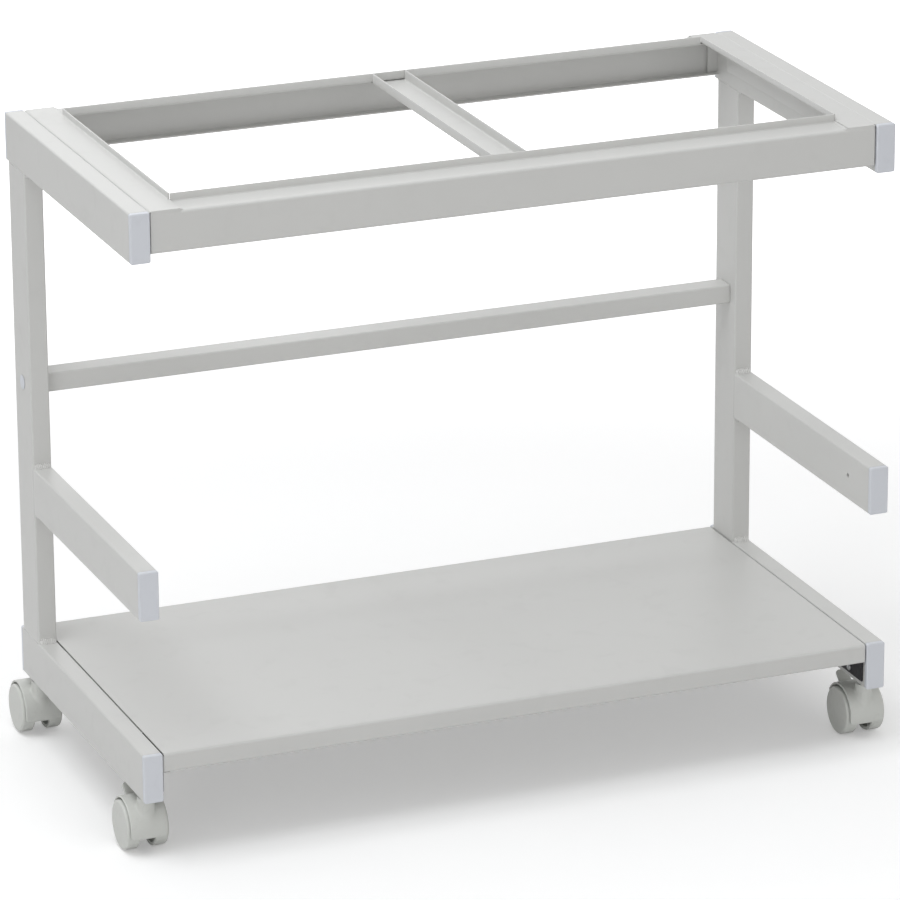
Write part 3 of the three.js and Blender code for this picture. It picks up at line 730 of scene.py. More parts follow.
@dataclass
class SideFrame:
    """One E-shaped side frame: a post, three arms, their end caps and the welds between them."""

    side: Side
    corner: float = 2.0
    tube_edge: float = 0.12
    head: float = 5.0
    cap_edge: float = 1.3
    cap_seat_edge: float = 0.35
    hole_radius: float = 2.5
    hole_setback: float = 47.0
    hole_drop: float = 24.0
    hole_depth: float = 9.0
    hole_flat: float = 5.0
    hole_steps: int = 32
    weld: float = 4.6
    weld_sunk: float = 0.7
    weld_steps: int = 61
    weld_margin: float = 0.6
    weld_fall: float = 0.7
    weld_smooth: float = 50.0
    weld_swells: tuple[tuple[float, float], ...] = ((0.11, 3.1), (0.1, 0.9))
    seam_sunk: float = 0.03
    seam_overlap: float = 1.0

    def tube(self, node: str, axis: Axis) -> Shape:
        """A closed tube between the ends of its CAD node.

        Args:
            node: The CAD node.
            axis: The axis that it runs along.

        Returns:
            The closed shape.
        """
        low, high = box_mm(node)
        loop = box_loop(node, axis, self.corner)
        return prism(axis, loop, low[axis.value], high[axis.value], self.tube_edge)

    def pierced_tube(self, node: str) -> Shape:
        """The middle arm, a tube with a spare hole in its inner wall.

        Two more rows stand beside the hole. Between them the inner wall's face makes way for four
        faces between its corners and the quarters of a circle, which goes into the arm as a blind
        cylinder.

        Args:
            node: The arm's CAD node.

        Returns:
            The closed shape.
        """
        low, high = box_mm(node)
        inner = low[0] if self.side is Side.RIGHT else high[0]
        hole = np.array([inner, low[1] + self.hole_setback, high[2] - self.hole_drop])
        places, drawn = edge_rows(low[1], high[1], self.tube_edge)
        beside = [hole[1] - self.hole_flat, hole[1] + self.hole_flat]
        half = len(places) // 2
        places = np.concatenate([places[:half], beside, places[half:]])
        drawn = np.concatenate([drawn[:half], [0.0, 0.0], drawn[half:]])
        section = box_loop(node, Axis.Y, self.corner)
        body = along(Axis.Y, np.stack([inset(section, d) for d in drawn]), places)
        on_wall = np.flatnonzero(np.abs(section[:, 0] - inner) < 0.01)
        levels = section[on_wall, 1] - section[:, 1].mean()
        top = on_wall[np.where(levels > 0, levels, np.inf).argmin()]
        low_point = on_wall[np.where(levels < 0, -levels, np.inf).argmin()]
        first, second = half * len(section), (half + 1) * len(section)
        corners = [second + top, first + top, first + low_point, second + low_point]
        faces = [f for f in body.faces if set(f) != set(corners)]
        steps = self.hole_steps
        angle = np.linspace(0, 2 * math.pi, steps, endpoint=False) + math.pi / 4
        around = self.hole_radius * np.stack([0 * angle, np.cos(angle), np.sin(angle)], axis=1)
        mouth = hole + around
        bottom = mouth + np.array([self.side.value * self.hole_depth, 0, 0])
        start = len(body.points)
        ring = start + np.arange(steps + 1) % steps
        quarters = ring[np.arange(4)[:, None] * (steps // 4) + np.arange(steps // 4 + 1)]
        for q, arc in enumerate(quarters.tolist()):
            faces.append([corners[(q + 1) % 4], corners[q], *arc])
        wall = np.stack([ring[:-1], ring[1:], ring[1:] + steps, ring[:-1] + steps], axis=1)
        faces += wall.tolist() + [(ring[:-1] + steps).tolist()]
        return Shape(np.vstack([body.points, mouth, bottom]), faces)

    def cap(self, node: str, end: End) -> Shape:
        """An end cap's head.

        It is the arm's section carried over the head's length. Its outer edge has the radius of
        the soft edge, and its seat that of the seam.

        Args:
            node: The cap's CAD node.
            end: The end of the trolley that the cap faces.

        Returns:
            The closed shape.
        """
        low, high = box_mm(node)
        places, drawn = edge_rows(0.0, 2 * self.head, self.cap_edge, 8)
        seat, seat_drawn = edge_rows(0.0, 2 * self.head, self.cap_seat_edge)
        half, seat_half = len(places) // 2, len(seat) // 2
        outer = high[1] if end is End.REAR else low[1]
        rows = np.concatenate([places[:half], self.head - seat[:seat_half][::-1]])
        insets = np.concatenate([drawn[:half], seat_drawn[:seat_half][::-1]])
        loop = box_loop(node, Axis.Y, self.corner)
        return along(Axis.Y, np.stack([inset(loop, d) for d in insets]), outer - end.value * rows)

    def bead(self, y: float, z: float, back: float, up: float, phase: float) -> Shape:
        """A weld bead along X in the corner between a post and an arm.

        Over x and an angle a from 0 to 90 degrees the bead's skin lies w cos(a)^1.5 along Y and
        w sin(a)^1.5 along Z from the corner. Its width w swells with two sines of x and falls off
        towards the ends as 1 - 0.7 u^12, where u runs from -1 to 1 along the bead.

        Args:
            y: The corner's place along Y.
            z: Its level.
            back: 1 where the bead lies behind the corner, -1 where it lies in front of it.
            up: 1 where it lies above the corner, -1 where it lies below.
            phase: A shift of the swellings.

        Returns:
            The closed shape.
        """
        low, high = box_mm(f"{self.side.word}_post")
        margin = self.corner * self.weld_margin
        x = np.linspace(low[0] + margin, high[0] - margin, self.weld_steps)
        u = np.linspace(-1, 1, self.weld_steps)
        (fine, fine_rate), (slow, slow_rate) = self.weld_swells
        swell = 1 + fine * np.sin(x * fine_rate + phase) + slow * np.sin(x * slow_rate + 2 * phase)
        width = (self.weld * swell * (1 - self.weld_fall * u**12))[:, None]
        angle = np.linspace(0, math.pi / 2, 8)[None]
        root = np.full((self.weld_steps, 1), -self.weld_sunk)
        out = np.hstack([width * np.cos(angle) ** 1.5, root])
        rise = np.hstack([width * np.sin(angle) ** 1.5, root])
        return along(Axis.X, np.stack([y + back * out, z + up * rise], axis=2), x)

    def seam(self, axis: Axis, node: str, low: float, high: float) -> Shape:
        """The metal in a welded seam, a little below the tube's faces."""
        return straight(axis, inset(box_loop(node, axis, self.corner), self.seam_sunk), low, high)

    def welds(self) -> Shape:
        """The beads and seams of the side frame.

        Returns:
            The closed shapes.
        """
        s = self.side.word
        post_low, post_high = box_mm(f"{s}_post")
        arm_low, arm_high = box_mm(f"{s}_middle_arm")
        levels = box_mm(f"{s}_bottom_arm")[1][2], box_mm(f"{s}_top_arm")[0][2]
        lap = self.seam_overlap
        shape = self.seam(Axis.Y, f"{s}_middle_arm", arm_high[1] - lap, post_low[1] + lap)
        shape += self.seam(Axis.Z, f"{s}_post", levels[0] - lap, post_low[2] + lap)
        shape += self.seam(Axis.Z, f"{s}_post", post_high[2] - lap, levels[1] + lap)
        for level, up in zip(levels, (1, -1)):
            shape += self.bead(post_low[1], level, -1, up, level)
            shape += self.bead(post_high[1], level, 1, up, level + 1.3)
        shape += self.bead(post_low[1], arm_high[2], -1, 1, 2.1)
        shape += self.bead(post_low[1], arm_low[2], -1, -1, 0.4)
        return shape

    def build(self) -> None:
        """Builds the side frame's pieces."""
        s = self.side.word
        piece(f"{s}_post_tube", self.tube(f"{s}_post", Axis.Z), POWDER_COAT, "frame", f"{s}_post")
        for arm in ("top", "bottom"):
            node = f"{s}_{arm}_arm"
            piece(f"{node}_tube", self.tube(node, Axis.Y), POWDER_COAT, "frame", node)
        node = f"{s}_middle_arm"
        piece(f"{node}_tube", self.pierced_tube(node), POWDER_COAT, "frame", node)
        piece(f"{s}_welds", self.welds(), WELD_COAT, "frame", None, self.weld_smooth)
        for cap in ("top_front", "top_rear", "middle_front", "bottom_front", "bottom_rear"):
            node = f"{s}_{cap}_cap"
            end = End.REAR if "rear" in cap else End.FRONT
            piece(f"{node}_head", self.cap(node, end), CAP_PLASTIC, "frame", node)


@dataclass
class Crossbar:
    """The rear crossbar and the plugs over its screws in the posts' outer faces."""

    corner: float = 1.5
    edge: float = 0.3
    plug_radius: float = 7.5
    plug_stem: float = 6.0
    plug_head: float = 0.8
    plug_dome: float = 0.6
    plug_chamfer: float = 0.1

    def plug(self, side: Side) -> Shape:
        """A plug: a stem in the post, and a head whose dome falls as the radius to the power of 4.

        Args:
            side: The post's side.

        Returns:
            The closed shape.
        """
        low, high = box_mm(f"post_plug_{side.word}")
        inner, outer = (low[0], high[0]) if side is Side.RIGHT else (-high[0], -low[0])
        radius = np.linspace(1.0, 0.08, 12)
        seat, brim = outer - self.plug_head, self.plug_radius - self.plug_chamfer
        profile = [(self.plug_stem, inner), (self.plug_stem, seat), (brim, seat)]
        profile += list(zip(self.plug_radius * radius, outer - self.plug_dome * radius**4))
        shape = lathe(Axis.X, profile).moved(y=(low[1] + high[1]) / 2, z=(low[2] + high[2]) / 2)
        return shape.on(side)

    def build(self) -> None:
        """Builds the crossbar and its plugs."""
        low, high = box_mm("rear_crossbar")
        loop = box_loop("rear_crossbar", Axis.X, self.corner)
        bar = prism(Axis.X, loop, low[0], high[0], self.edge)
        piece("crossbar_tube", bar, POWDER_COAT, "frame", "rear_crossbar")
        for side in Side:
            node = f"post_plug_{side.word}"
            piece(f"{node}_head", self.plug(side), CAP_PLASTIC, "frame", node)


# Top frame and shelf of folded sheet


@dataclass
class TopFrame:
    """The hanging frame: cross rails at the front and back, side rails and a centre rail."""

    sheet: float = 1.5
    bend: float = 2.2
    gap: float = 0.3
    ledge: float = 31.5
    lip: float = 8.0
    fold: float = 12.0
    edge: float = 0.5
    edge_guard: float = 0.2
    taper: float = 5.0
    fill_back: float = 0.05
    fill_drop: float = 2.8
    fill_rise: float = 0.9
    fill_slope: float = 0.4
    fill_end: tuple[float, float] = (0.35, 0.45)
    lap: float = 0.2
    play: float = 0.1
    tab_setback: float = 4.5
    tab_width: float = 10.0
    tab_drop: float = 1.0
    tab_edge: float = 0.3
    step_reach: float = 1.5
    step_seat: float = 0.7
    step_drop: float = 0.45
    groove: tuple[tuple[float, float], ...] = (
        (0.0, -2.6),
        (1.4, -0.5),
        (0.6, -0.35),
        (-1.0, -0.35),
        (-2.0, -0.5),
    )
    groove_margin: float = 1.0

    def outline(self, corners: list[tuple[float, float]]) -> np.ndarray:
        """The outline of the sheet folded along a path, with the frame's bend at each corner."""
        return sheet_loop(filleted(corners, [self.bend] * len(corners), False), self.sheet)

    def cross_rail(self, end: End) -> Shape:
        """A face, a ledge behind its top, a hanging lip behind the ledge and a fold under the face.

        Past the side rails' lips the section is cut off level with the ledge.

        Args:
            end: The rail's end of the trolley.

        Returns:
            The closed shape.
        """
        low, high = box_mm(f"{end.word}_rail")
        face, half = (low if end is End.FRONT else high)[1], self.sheet / 2
        side_low, side_high = box_mm("right_side_rail")
        ledge_top = side_high[2] - self.lip
        notch = side_low[0] - self.gap

        def behind(distance: float) -> float:
            """The place at a distance behind the rail's face."""
            return face - end.value * distance

        loop = self.outline(
            [
                (behind(self.fold), low[2] + half),
                (behind(half), low[2] + half),
                (behind(half), ledge_top - half),
                (behind(self.ledge - half), ledge_top - half),
                (behind(self.ledge - half), high[2]),
            ]
        )
        cut = np.stack([loop[:, 0], np.minimum(loop[:, 1], ledge_top)], axis=1)
        return notched(Axis.X, cut, loop, (low[0], -notch, notch, high[0]))

    def side_rail(self, side: Side) -> Shape:
        """A web beside the arm, a flange level with the arm's top and a hanging lip.

        Over the cross rails' ledges the section is cut down to the flange.

        Args:
            side: The rail's side.

        Returns:
            The closed shape.
        """
        low, high = box_mm("right_side_rail")
        top, half = box_mm("right_top_arm")[1][2], self.sheet / 2
        notch = self.ledge + self.gap
        loop = self.outline(
            [
                (high[0] - half, low[2]),
                (high[0] - half, top - half),
                (low[0] + half, top - half),
                (low[0] + half, high[2]),
            ]
        )
        cut = np.stack([loop[:, 0], np.clip(loop[:, 1], top - self.sheet, top)], axis=1)
        ends, insets = edge_rows(low[1], high[1], self.edge, guard=self.edge_guard)
        count = len(ends) // 2
        tongue = np.stack([drawn_in(cut, d) for d in insets])
        body = np.stack([cut, loop, loop, cut])
        front, rear = low[1] + notch, high[1] - notch
        places = np.concatenate([ends[:count], [front, front, rear, rear], ends[count:]])
        shape = along(Axis.Y, np.concatenate([tongue[:count], body, tongue[count:]]), places)
        return shape.on(side)

    def corner_fill(self, side: Side, end: End) -> Shape:
        """The filled joint between a side rail's flange and the cross rail's bend under it.

        Its section, a quadrilateral, shrinks into the bend over the taper's length. A tab behind
        the face closes the slot beside the arm.

        Args:
            side: The side rail's side.
            end: The cross rail's end.

        Returns:
            The closed shapes.
        """
        low, high = box_mm(f"{end.word}_rail")
        face = (low if end is End.FRONT else high)[1] - end.value * self.fill_back
        under = box_mm("right_top_arm")[1][2] - self.sheet
        behind = face - end.value * (self.bend + self.sheet)
        sunk, top = under - self.gap - self.fill_drop, under + self.fill_rise
        slope = under - self.gap - self.fill_slope
        full = np.array([(face, sunk), (behind, slope), (behind, top), (face, top)])
        small = (full - (behind, sunk)) * self.fill_end + (behind, sunk + self.lap)
        inner = box_mm("right_side_rail")[0][0]
        places = side.value * np.array([inner - self.taper, inner + self.lap, high[0] - self.play])
        tab_low, tab_high = low[2] + self.sheet - self.lap, under - self.tab_drop
        middle = (face - end.value * self.tab_setback, (tab_low + tab_high) / 2)
        tab = rectangle(self.sheet, tab_high - tab_low, self.tab_edge, middle)
        arm = box_mm("right_top_arm")[0][0] - self.play
        across = side.value * np.array([high[0] - self.tab_width, arm])
        return along(Axis.X, np.stack([small, full, full]), places) + straight(Axis.X, tab, *across)

    def ledge_fill(self, side: Side, end: End) -> Shape:
        """The paint that fills the step from a cross rail's ledge up to a side rail's flange.

        Its section is a triangle with a cut-off tip: a foot on the ledge, and a wall up to just
        under the flange's top.

        Args:
            side: The side rail's side.
            end: The cross rail's end.

        Returns:
            The closed shape.
        """
        low, high = box_mm("right_side_rail")
        face = box_mm("front_rail")[0][1] if end is End.FRONT else box_mm("rear_rail")[1][1]
        ledge = high[2] - self.lip - self.play
        flange = box_mm("right_top_arm")[1][2] - self.step_drop
        toe, heel, brow = low[0] - self.step_reach, low[0] + self.step_seat, low[0] + self.lap
        loop = np.array([(toe, ledge), (heel, ledge), (heel, flange), (brow, flange)])
        stop = self.ledge - self.sheet - self.lap
        places = face - end.value * np.array([self.bend + self.sheet, stop])
        return straight(Axis.Y, loop, *places).on(side)

    def arm_seam(self) -> Shape:
        """The filled groove between the right top arm and the side rail's flange.

        Its section is a shallow wedge, given by its corners about the groove's top.

        Returns:
            The closed shape.
        """
        arm_low, arm_high = box_mm("right_top_arm")
        rail_low, rail_high = box_mm("right_side_rail")
        loop = np.array(self.groove) + ((arm_low[0] + rail_high[0]) / 2, arm_high[2])
        low, high = max(arm_low[1], rail_low[1]), min(arm_high[1], rail_high[1])
        return straight(Axis.Y, loop, low + self.groove_margin, high - self.groove_margin)

    def centre_rail(self) -> Shape:
        """A channel with a hanging lip for each row; under the ledges only its base goes on.

        Returns:
            The closed shape.
        """
        low, high = box_mm("centre_rail")
        half = self.sheet / 2
        base_top = low[2] + self.sheet
        front, rear = box_mm("front_rail")[0][1], box_mm("rear_rail")[1][1]
        notch = self.ledge + self.gap
        reach = high[0] - half
        loop = self.outline(
            [(-reach, high[2]), (-reach, low[2] + half), (reach, low[2] + half), (reach, high[2])]
        )
        cut = np.stack([loop[:, 0], np.minimum(loop[:, 1], base_top)], axis=1)
        return notched(Axis.Y, cut, loop, (low[1], front + notch, rear - notch, high[1]))

    def build(self) -> None:
        """Builds the five rails."""
        for end in End:
            rail = self.cross_rail(end)
            piece(f"{end.word}_cross_rail", rail, POWDER_COAT, "frame", f"{end.word}_rail")
        for side in Side:
            node = f"{side.word}_side_rail"
            piece(f"{node}_sheet", self.side_rail(side), POWDER_COAT, "frame", node)
            fills = self.corner_fill(side, End.FRONT) + self.corner_fill(side, End.REAR)
            fills += self.ledge_fill(side, End.FRONT) + self.ledge_fill(side, End.REAR)
            if side is Side.RIGHT:
                fills += self.arm_seam()
            piece(f"{side.word}_corner_fills", fills, POWDER_COAT, "frame", None)
        piece("centre_rail_sheet", self.centre_rail(), POWDER_COAT, "frame", "centre_rail")


@dataclass
class Shelf:
    """The shelf, its four brackets and their screws."""

    sheet: float = 1.2
    bend: float = 2.0
    fold: float = 12.0
    fold_end: float = 372.0
    side_fold: float = 16.0
    side_fold_gap: float = 4.0
    bracket_sheet: float = 2.5
    bracket_bend: float = 3.0
    recess: float = 1.3
    recess_half: float = 0.75
    recess_reach: float = 2.3
    recess_fade: float = 0.4
    crown: float = 0.9
    head: float = 2.0
    shank: float = 2.0

    def tray(self) -> Shape:
        """The folded tray.

        Near the side frames the folds under its lips are cut off, where the brackets stand.

        Returns:
            The closed shapes.
        """
        low, high = box_mm("shelf")
        half = self.sheet / 2
        front, rear, foot = low[1], high[1], low[2]
        path = [
            (front + self.fold, foot + half),
            (front + half, foot + half),
            (front + half, high[2] - half),
            (rear - half, high[2] - half),
            (rear - half, foot + half),
            (rear - self.fold, foot + half),
        ]
        loop = sheet_loop(filleted(path, [self.bend] * 6, False), self.sheet)
        y, z = loop.T
        drawn = np.where(y < 0, np.minimum(y, front + self.sheet), np.maximum(y, rear - self.sheet))
        cut = np.stack([np.where(z < foot + self.sheet + self.bend, drawn, y), z], axis=1)
        strip = self.side_fold_strip()
        tray = notched(Axis.X, cut, loop, (low[0], -self.fold_end, self.fold_end, high[0]))
        return tray + strip + strip.mirrored()

    def side_fold_strip(self) -> Shape:
        """The right-hand fold down from the shelf's end, between the brackets.

        Returns:
            The closed shape.
        """
        high = box_mm("shelf")[1]
        near = box_mm("shelf_bracket_front_right")[1][1] + self.side_fold_gap
        far = box_mm("shelf_bracket_rear_right")[0][1] - self.side_fold_gap
        x, top = high[0] - self.sheet / 2, high[2] - self.sheet / 2
        foot = high[2] - self.side_fold
        loop = sheet_loop(np.array([(x, foot), (x, (foot + top) / 2), (x, top)]), self.sheet)
        return straight(Axis.Y, loop, near, far)

    def bracket(self, end: End) -> Shape:
        """A right-hand bracket: a leaf beside the arm and one under the shelf.

        Args:
            end: The bracket's end of the trolley.

        Returns:
            The closed shape.
        """
        low, high = box_mm(f"shelf_bracket_{end.word}_right")
        half = self.bracket_sheet / 2
        wall, top = high[0] - half, high[2] - half
        path = [(wall, low[2]), (wall, top), (low[0], top)]
        loop = sheet_loop(filleted(path, [self.bracket_bend] * 3, False), self.bracket_sheet)
        return straight(Axis.Y, loop, low[1], high[1])

    def screw(self, end: End) -> Shape:
        """A right-hand pan-head screw with a cross recess.

        Over radius r and angle a the head's face lies crown (r / R)^4 below its top. The recess
        has its full depth inside the cross. It fades out smoothly, over the fade's length, up to
        where the smaller of |r cos a| and |r sin a| is the cross's half width, or r its reach.

        Args:
            end: The bracket's end of the trolley.

        Returns:
            The closed shape.
        """
        low, high = box_mm(f"bracket_screw_{end.word}_right")
        radius, top = (high[2] - low[2]) / 2, low[0]
        angle = np.linspace(0, 2 * math.pi, 72, endpoint=False)[None]
        rings = np.linspace(0.06, 1, 18)[:, None] * radius
        across, down = rings * np.cos(angle), rings * np.sin(angle)
        nearer = np.minimum(np.abs(across), np.abs(down))
        arm = np.clip((self.recess_half - nearer) / self.recess_fade, 0, 1)
        arm = arm * np.clip((self.recess_reach - rings) / self.recess_fade, 0, 1)
        face = top + self.crown * (rings / radius) ** 4 + self.recess * arm * arm * (3 - 2 * arm)
        head = np.stack([face, across, down], axis=2)
        seat = np.full_like(angle, top + self.head)
        foot = np.stack([seat, radius * np.cos(angle), radius * np.sin(angle)], axis=2)
        shank = foot * np.array([1, self.shank / radius, self.shank / radius])
        tip = shank * np.array([0, 1, 1]) + np.array([high[0], 0, 0])
        middle = (low + high) / 2
        return grid(np.concatenate([head, foot, shank, tip])).moved(y=middle[1], z=middle[2])

    def build(self) -> None:
        """Builds the shelf, the brackets and the screws."""
        piece("shelf_tray", self.tray(), POWDER_COAT, "frame", "shelf")
        for end in End:
            for side in Side:
                place = f"{end.word}_{side.word}"
                node = f"shelf_bracket_{place}"
                piece(f"{node}_leaf", self.bracket(end).on(side), BRACKET_PAINT, "frame", node)
                node = f"bracket_screw_{place}"
                piece(f"{node}_head", self.screw(end).on(side), ZINC_STEEL, "frame", node)


# Casters


@dataclass
class Caster:
    """A twin-wheel caster. Its shapes are laid out round its stem, with the axle behind it."""

    end: End
    side: Side
    trail: float = 18.0
    axle_level: float = 25.0
    half_width: float = 22.0
    hood_half: float = 19.0
    hood_outer: float = 29.0
    hood_inner: float = 26.8
    hood_rear: float = 25.0
    hood_front: float = 195.0
    hood_corner: float = 4.0
    hood_border: float = 3.0
    hood_smooth: float = 40.0
    notch_top: float = 52.0
    notch_half: float = 7.8
    notch_corner: float = 1.0
    ear_corner: float = 2.2
    boss_radius: float = 8.7
    boss_top: float = 59.2
    boss_edge: float = 0.9
    blend: float = 2.2
    bore: float = 4.3
    web_half: float = 4.0
    web_turn: tuple[float, float] = (55.0, 188.0)
    web_edge: float = 0.3
    axle_boss: float = 7.5
    axle_boss_half: float = 5.2
    core_width: float = 12.5
    core_depth: float = 15.0
    core_corner: float = 2.0
    core_drop: float = 4.0
    core_rise: float = 27.0
    core_edge: float = 0.8
    lug: float = 5.0
    lug_edge: float = 0.5
    pin: float = 2.0
    pin_half: float = 7.0
    collar: float = 7.5
    collar_faces: tuple[float, float] = (0.5, 2.5)
    collar_chamfer: float = 0.3
    stem: float = 4.0
    stem_chamfer: float = 0.5
    rim: float = 3.5
    disc: float = 3.0
    tread_edge: float = 1.2
    face_edge: float = 2.4
    crown: float = 0.3
    hub: float = 7.0
    hub_inner: float = 8.8
    wheel_inner: float = 8.0
    fillet: float = 1.0
    chamfer: float = 0.4
    rib: float = 1.6
    rib_recess: float = 3.5
    rib_turn: float = 15.0
    ribs: int = 6
    axle_radius: float = 2.5
    axle_play: float = 0.3
    pivot: tuple[float, float] = (30.0, 33.5)
    lever_angle: float = 42.0
    lever_start: float = 13.5
    lever_end: float = 31.0
    lever_half: float = 7.0
    lever_corner: float = 4.0
    lever_root: float = 0.8
    lever_sheet: float = 3.0
    lever_edge: float = 1.0
    cheek: float = 3.4
    cheek_span: tuple[float, float] = (4.4, 6.9)
    cheek_edge: float = 0.5

    @property
    def braked(self) -> bool:
        """Whether the caster has a brake."""
        return self.end is End.FRONT

    @property
    def name(self) -> str:
        """The start of its CAD nodes' names."""
        return f"caster_{self.end.word}_{self.side.word}"

    @property
    def body(self) -> str:
        """The CAD body that turns on its stem."""
        return f"{self.end.word}_{self.side.word}_caster"

    def placed(self, shape: Shape) -> Shape:
        """A shape laid out round the stem, moved to the stem's place."""
        low, high = box_mm(f"{self.name}_stem")
        return shape.moved(x=(low[0] + high[0]) / 2, y=(low[1] + high[1]) / 2)

    def skin(self, points: np.ndarray) -> np.ndarray:
        """A field that is 0 on the hood's outside and positive beyond it.

        The shell's value is the distance from the axle less the shell's radius, and the boss's is
        the distance to a cylinder with a rounded top edge. They are joined by a smooth minimum:
        boss + (shell - boss) h - k h (1 - h), where h goes from 0 to 1 as boss - shell goes from
        -k to k.

        Args:
            points: Array of points by 3, with any dimensions before.

        Returns:
            The field at each point, in millimetres.
        """
        x, y, z = np.moveaxis(points, -1, 0)
        shell = np.hypot(y - self.trail, z - self.axle_level) - self.hood_outer
        out = np.hypot(x, y) - self.boss_radius + self.boss_edge
        up = z - self.boss_top + self.boss_edge
        boss = np.hypot(np.maximum(out, 0), np.maximum(up, 0)) + np.minimum(np.maximum(out, up), 0)
        boss = boss - self.boss_edge
        h = np.clip(0.5 + (boss - shell) / (2 * self.blend), 0, 1)
        return boss + (shell - boss) * h - self.blend * h * (1 - h)

    def onto_skin(self, points: np.ndarray) -> np.ndarray:
        """Draws points onto the hood's outside.

        Twelve times a point p goes to p - f g / |g|^2, where f is the field and g its slope from
        differences over 0.01 mm.

        Args:
            points: Points near the skin.

        Returns:
            The points on it.
        """
        step = 0.01
        for _ in range(12):
            value = self.skin(points)
            rises = [self.skin(points + move) - value for move in np.eye(3) * step]
            slope = np.stack(rises, axis=-1) / step
            points = points - (value / (slope**2).sum(axis=-1))[..., None] * slope
        return points

    @property
    def stem_angle(self) -> float:
        """Where the stem's line meets the shell: the angle above the level line to the back."""
        return math.acos(-self.trail / self.hood_outer)

    def spread(self, degrees: float) -> float:
        """The distance along the shell from the stem's line back to an angle behind the axle."""
        return self.hood_outer * (self.stem_angle - math.radians(degrees))

    def rolled(self, flat: np.ndarray, radius: float) -> np.ndarray:
        """Lays (x, v) points round the axle.

        The angle above the level line behind the axle is the stem's angle less v over the shell's
        radius.

        Args:
            flat: Array of points by 2.
            radius: The distance from the axle.

        Returns:
            Array of points by 3.
        """
        angle = self.stem_angle - flat[..., 1] / self.hood_outer
        y, z = self.trail + radius * np.cos(angle), self.axle_level + radius * np.sin(angle)
        return np.stack([flat[..., 0], y, z], axis=-1)

    def hood_loops(self) -> tuple[np.ndarray, np.ndarray]:
        """The hood's outline in (x, v), and an oval loop within it.

        The outline is a rounded rectangle, on a braked caster with a notch for the lever between
        two ears. The inner loop runs a border's width inside it. Below the ears it is level, and
        there each ear's points lie evenly on it, in their order.

        Returns:
            The outline and the inner loop, each as 240 points by 2.
        """
        half = self.hood_half
        front, rear = self.spread(self.hood_front), self.spread(self.hood_rear)
        corners = [(half, front), (half, rear), (-half, rear), (-half, front)]
        radii = [self.hood_corner] * 4
        if self.braked:
            notch, top = self.notch_half, self.spread(self.notch_top)
            corners[2:2] = [(notch, rear), (notch, top), (-notch, top), (-notch, rear)]
            radii[2:2] = [self.ear_corner, self.notch_corner, self.notch_corner, self.ear_corner]
        outline = resampled(filleted(corners, radii, True), 240)
        inner = inset(outline, self.hood_border)
        if self.braked:
            x, v = outline.T
            level = top - self.hood_border
            inner[v > level] = np.stack([x, np.full_like(v, level)], axis=1)[v > level]
            near, far = notch - 0.3, half - self.hood_border
            right, left = (v > level) & (x > near), (v > level) & (x < -near)
            for ear, span in ((right, (far, near)), (left, (-near, -far))):
                inner[ear, 0] = np.linspace(*span, ear.sum())
        return outline, inner

    def boss_rings(self, circle: np.ndarray) -> tuple[np.ndarray, np.ndarray]:
        """The rings of the boss, from its bore over its rounded top edge and down its wall.

        Args:
            circle: The directions of the rings' points, as points by 2.

        Returns:
            The rings inside the bore, and those outside it.
        """

        def ring(radius: float, level: float | np.ndarray) -> np.ndarray:
            """A ring about the stem."""
            return np.column_stack([radius * circle, np.broadcast_to(level, len(circle))])

        top, radius, edge = self.boss_top, self.boss_radius, self.boss_edge
        foot_y = radius * circle[:, 1] - self.trail
        drop = self.axle_level + np.sqrt(self.hood_outer**2 - foot_y**2) - (top - edge)
        rings = [ring(radius - edge - 0.4, top)]
        for a in np.linspace(0, math.pi / 2, 5):
            rings.append(ring(radius - edge + edge * math.sin(a), top - edge + edge * math.cos(a)))
        rings += [ring(radius, top - edge + drop * t) for t in np.linspace(0.04, 0.95, 10)]
        return np.array([ring(self.bore, top - 5), ring(self.bore, top)]), np.array(rings)

    def hood_shell(self) -> Shape:
        """The hood's shell with its boss, as rings about the boss.

        From the bore the rings go out over the boss, then over the shell to its outline, round the
        rim as a half circle and back over the inside. On the shell a ring is a straight mix, in
        (x, v), of the boss's foot and the inner loop, and then of the inner loop and the outline.
        The outer rings are drawn onto the blended skin.

        Returns:
            The closed shape.
        """
        outline, inner = self.hood_loops()
        angle = np.arctan2(inner[:, 1], inner[:, 0])
        circle = np.stack([np.cos(angle), np.sin(angle)], axis=1)
        bore, boss = self.boss_rings(circle)
        foot_angle = np.arccos((self.boss_radius * circle[:, 1] - self.trail) / self.hood_outer)
        foot_v = self.hood_outer * (self.stem_angle - foot_angle)
        foot = np.stack([self.boss_radius * circle[:, 0], foot_v], axis=1)
        wall = (self.hood_outer - self.hood_inner) / 2
        brink = inset(outline, wall)
        share = np.linspace(0.03, 1.0, 22)[:, None, None] ** 1.15
        border = np.linspace(0, 1, 9)[1:, None, None]
        shell = np.concatenate([foot + (inner - foot) * share, inner + (brink - inner) * border])
        outer = self.onto_skin(np.concatenate([boss, self.rolled(shell, self.hood_outer)]))
        turn = np.linspace(0, math.pi, 9)[1:]
        middle = self.hood_inner + wall
        rim = [
            self.rolled(inset(outline, wall * (1 - math.sin(a))), middle + wall * math.cos(a))
            for a in turn
        ]
        shrink = np.linspace(0.85, 0.05, 6)[:, None, None]
        back = np.concatenate([brink + (inner - brink) * border, inner * shrink])
        return grid(np.concatenate([bore, outer, rim, self.rolled(back, self.hood_inner)]))

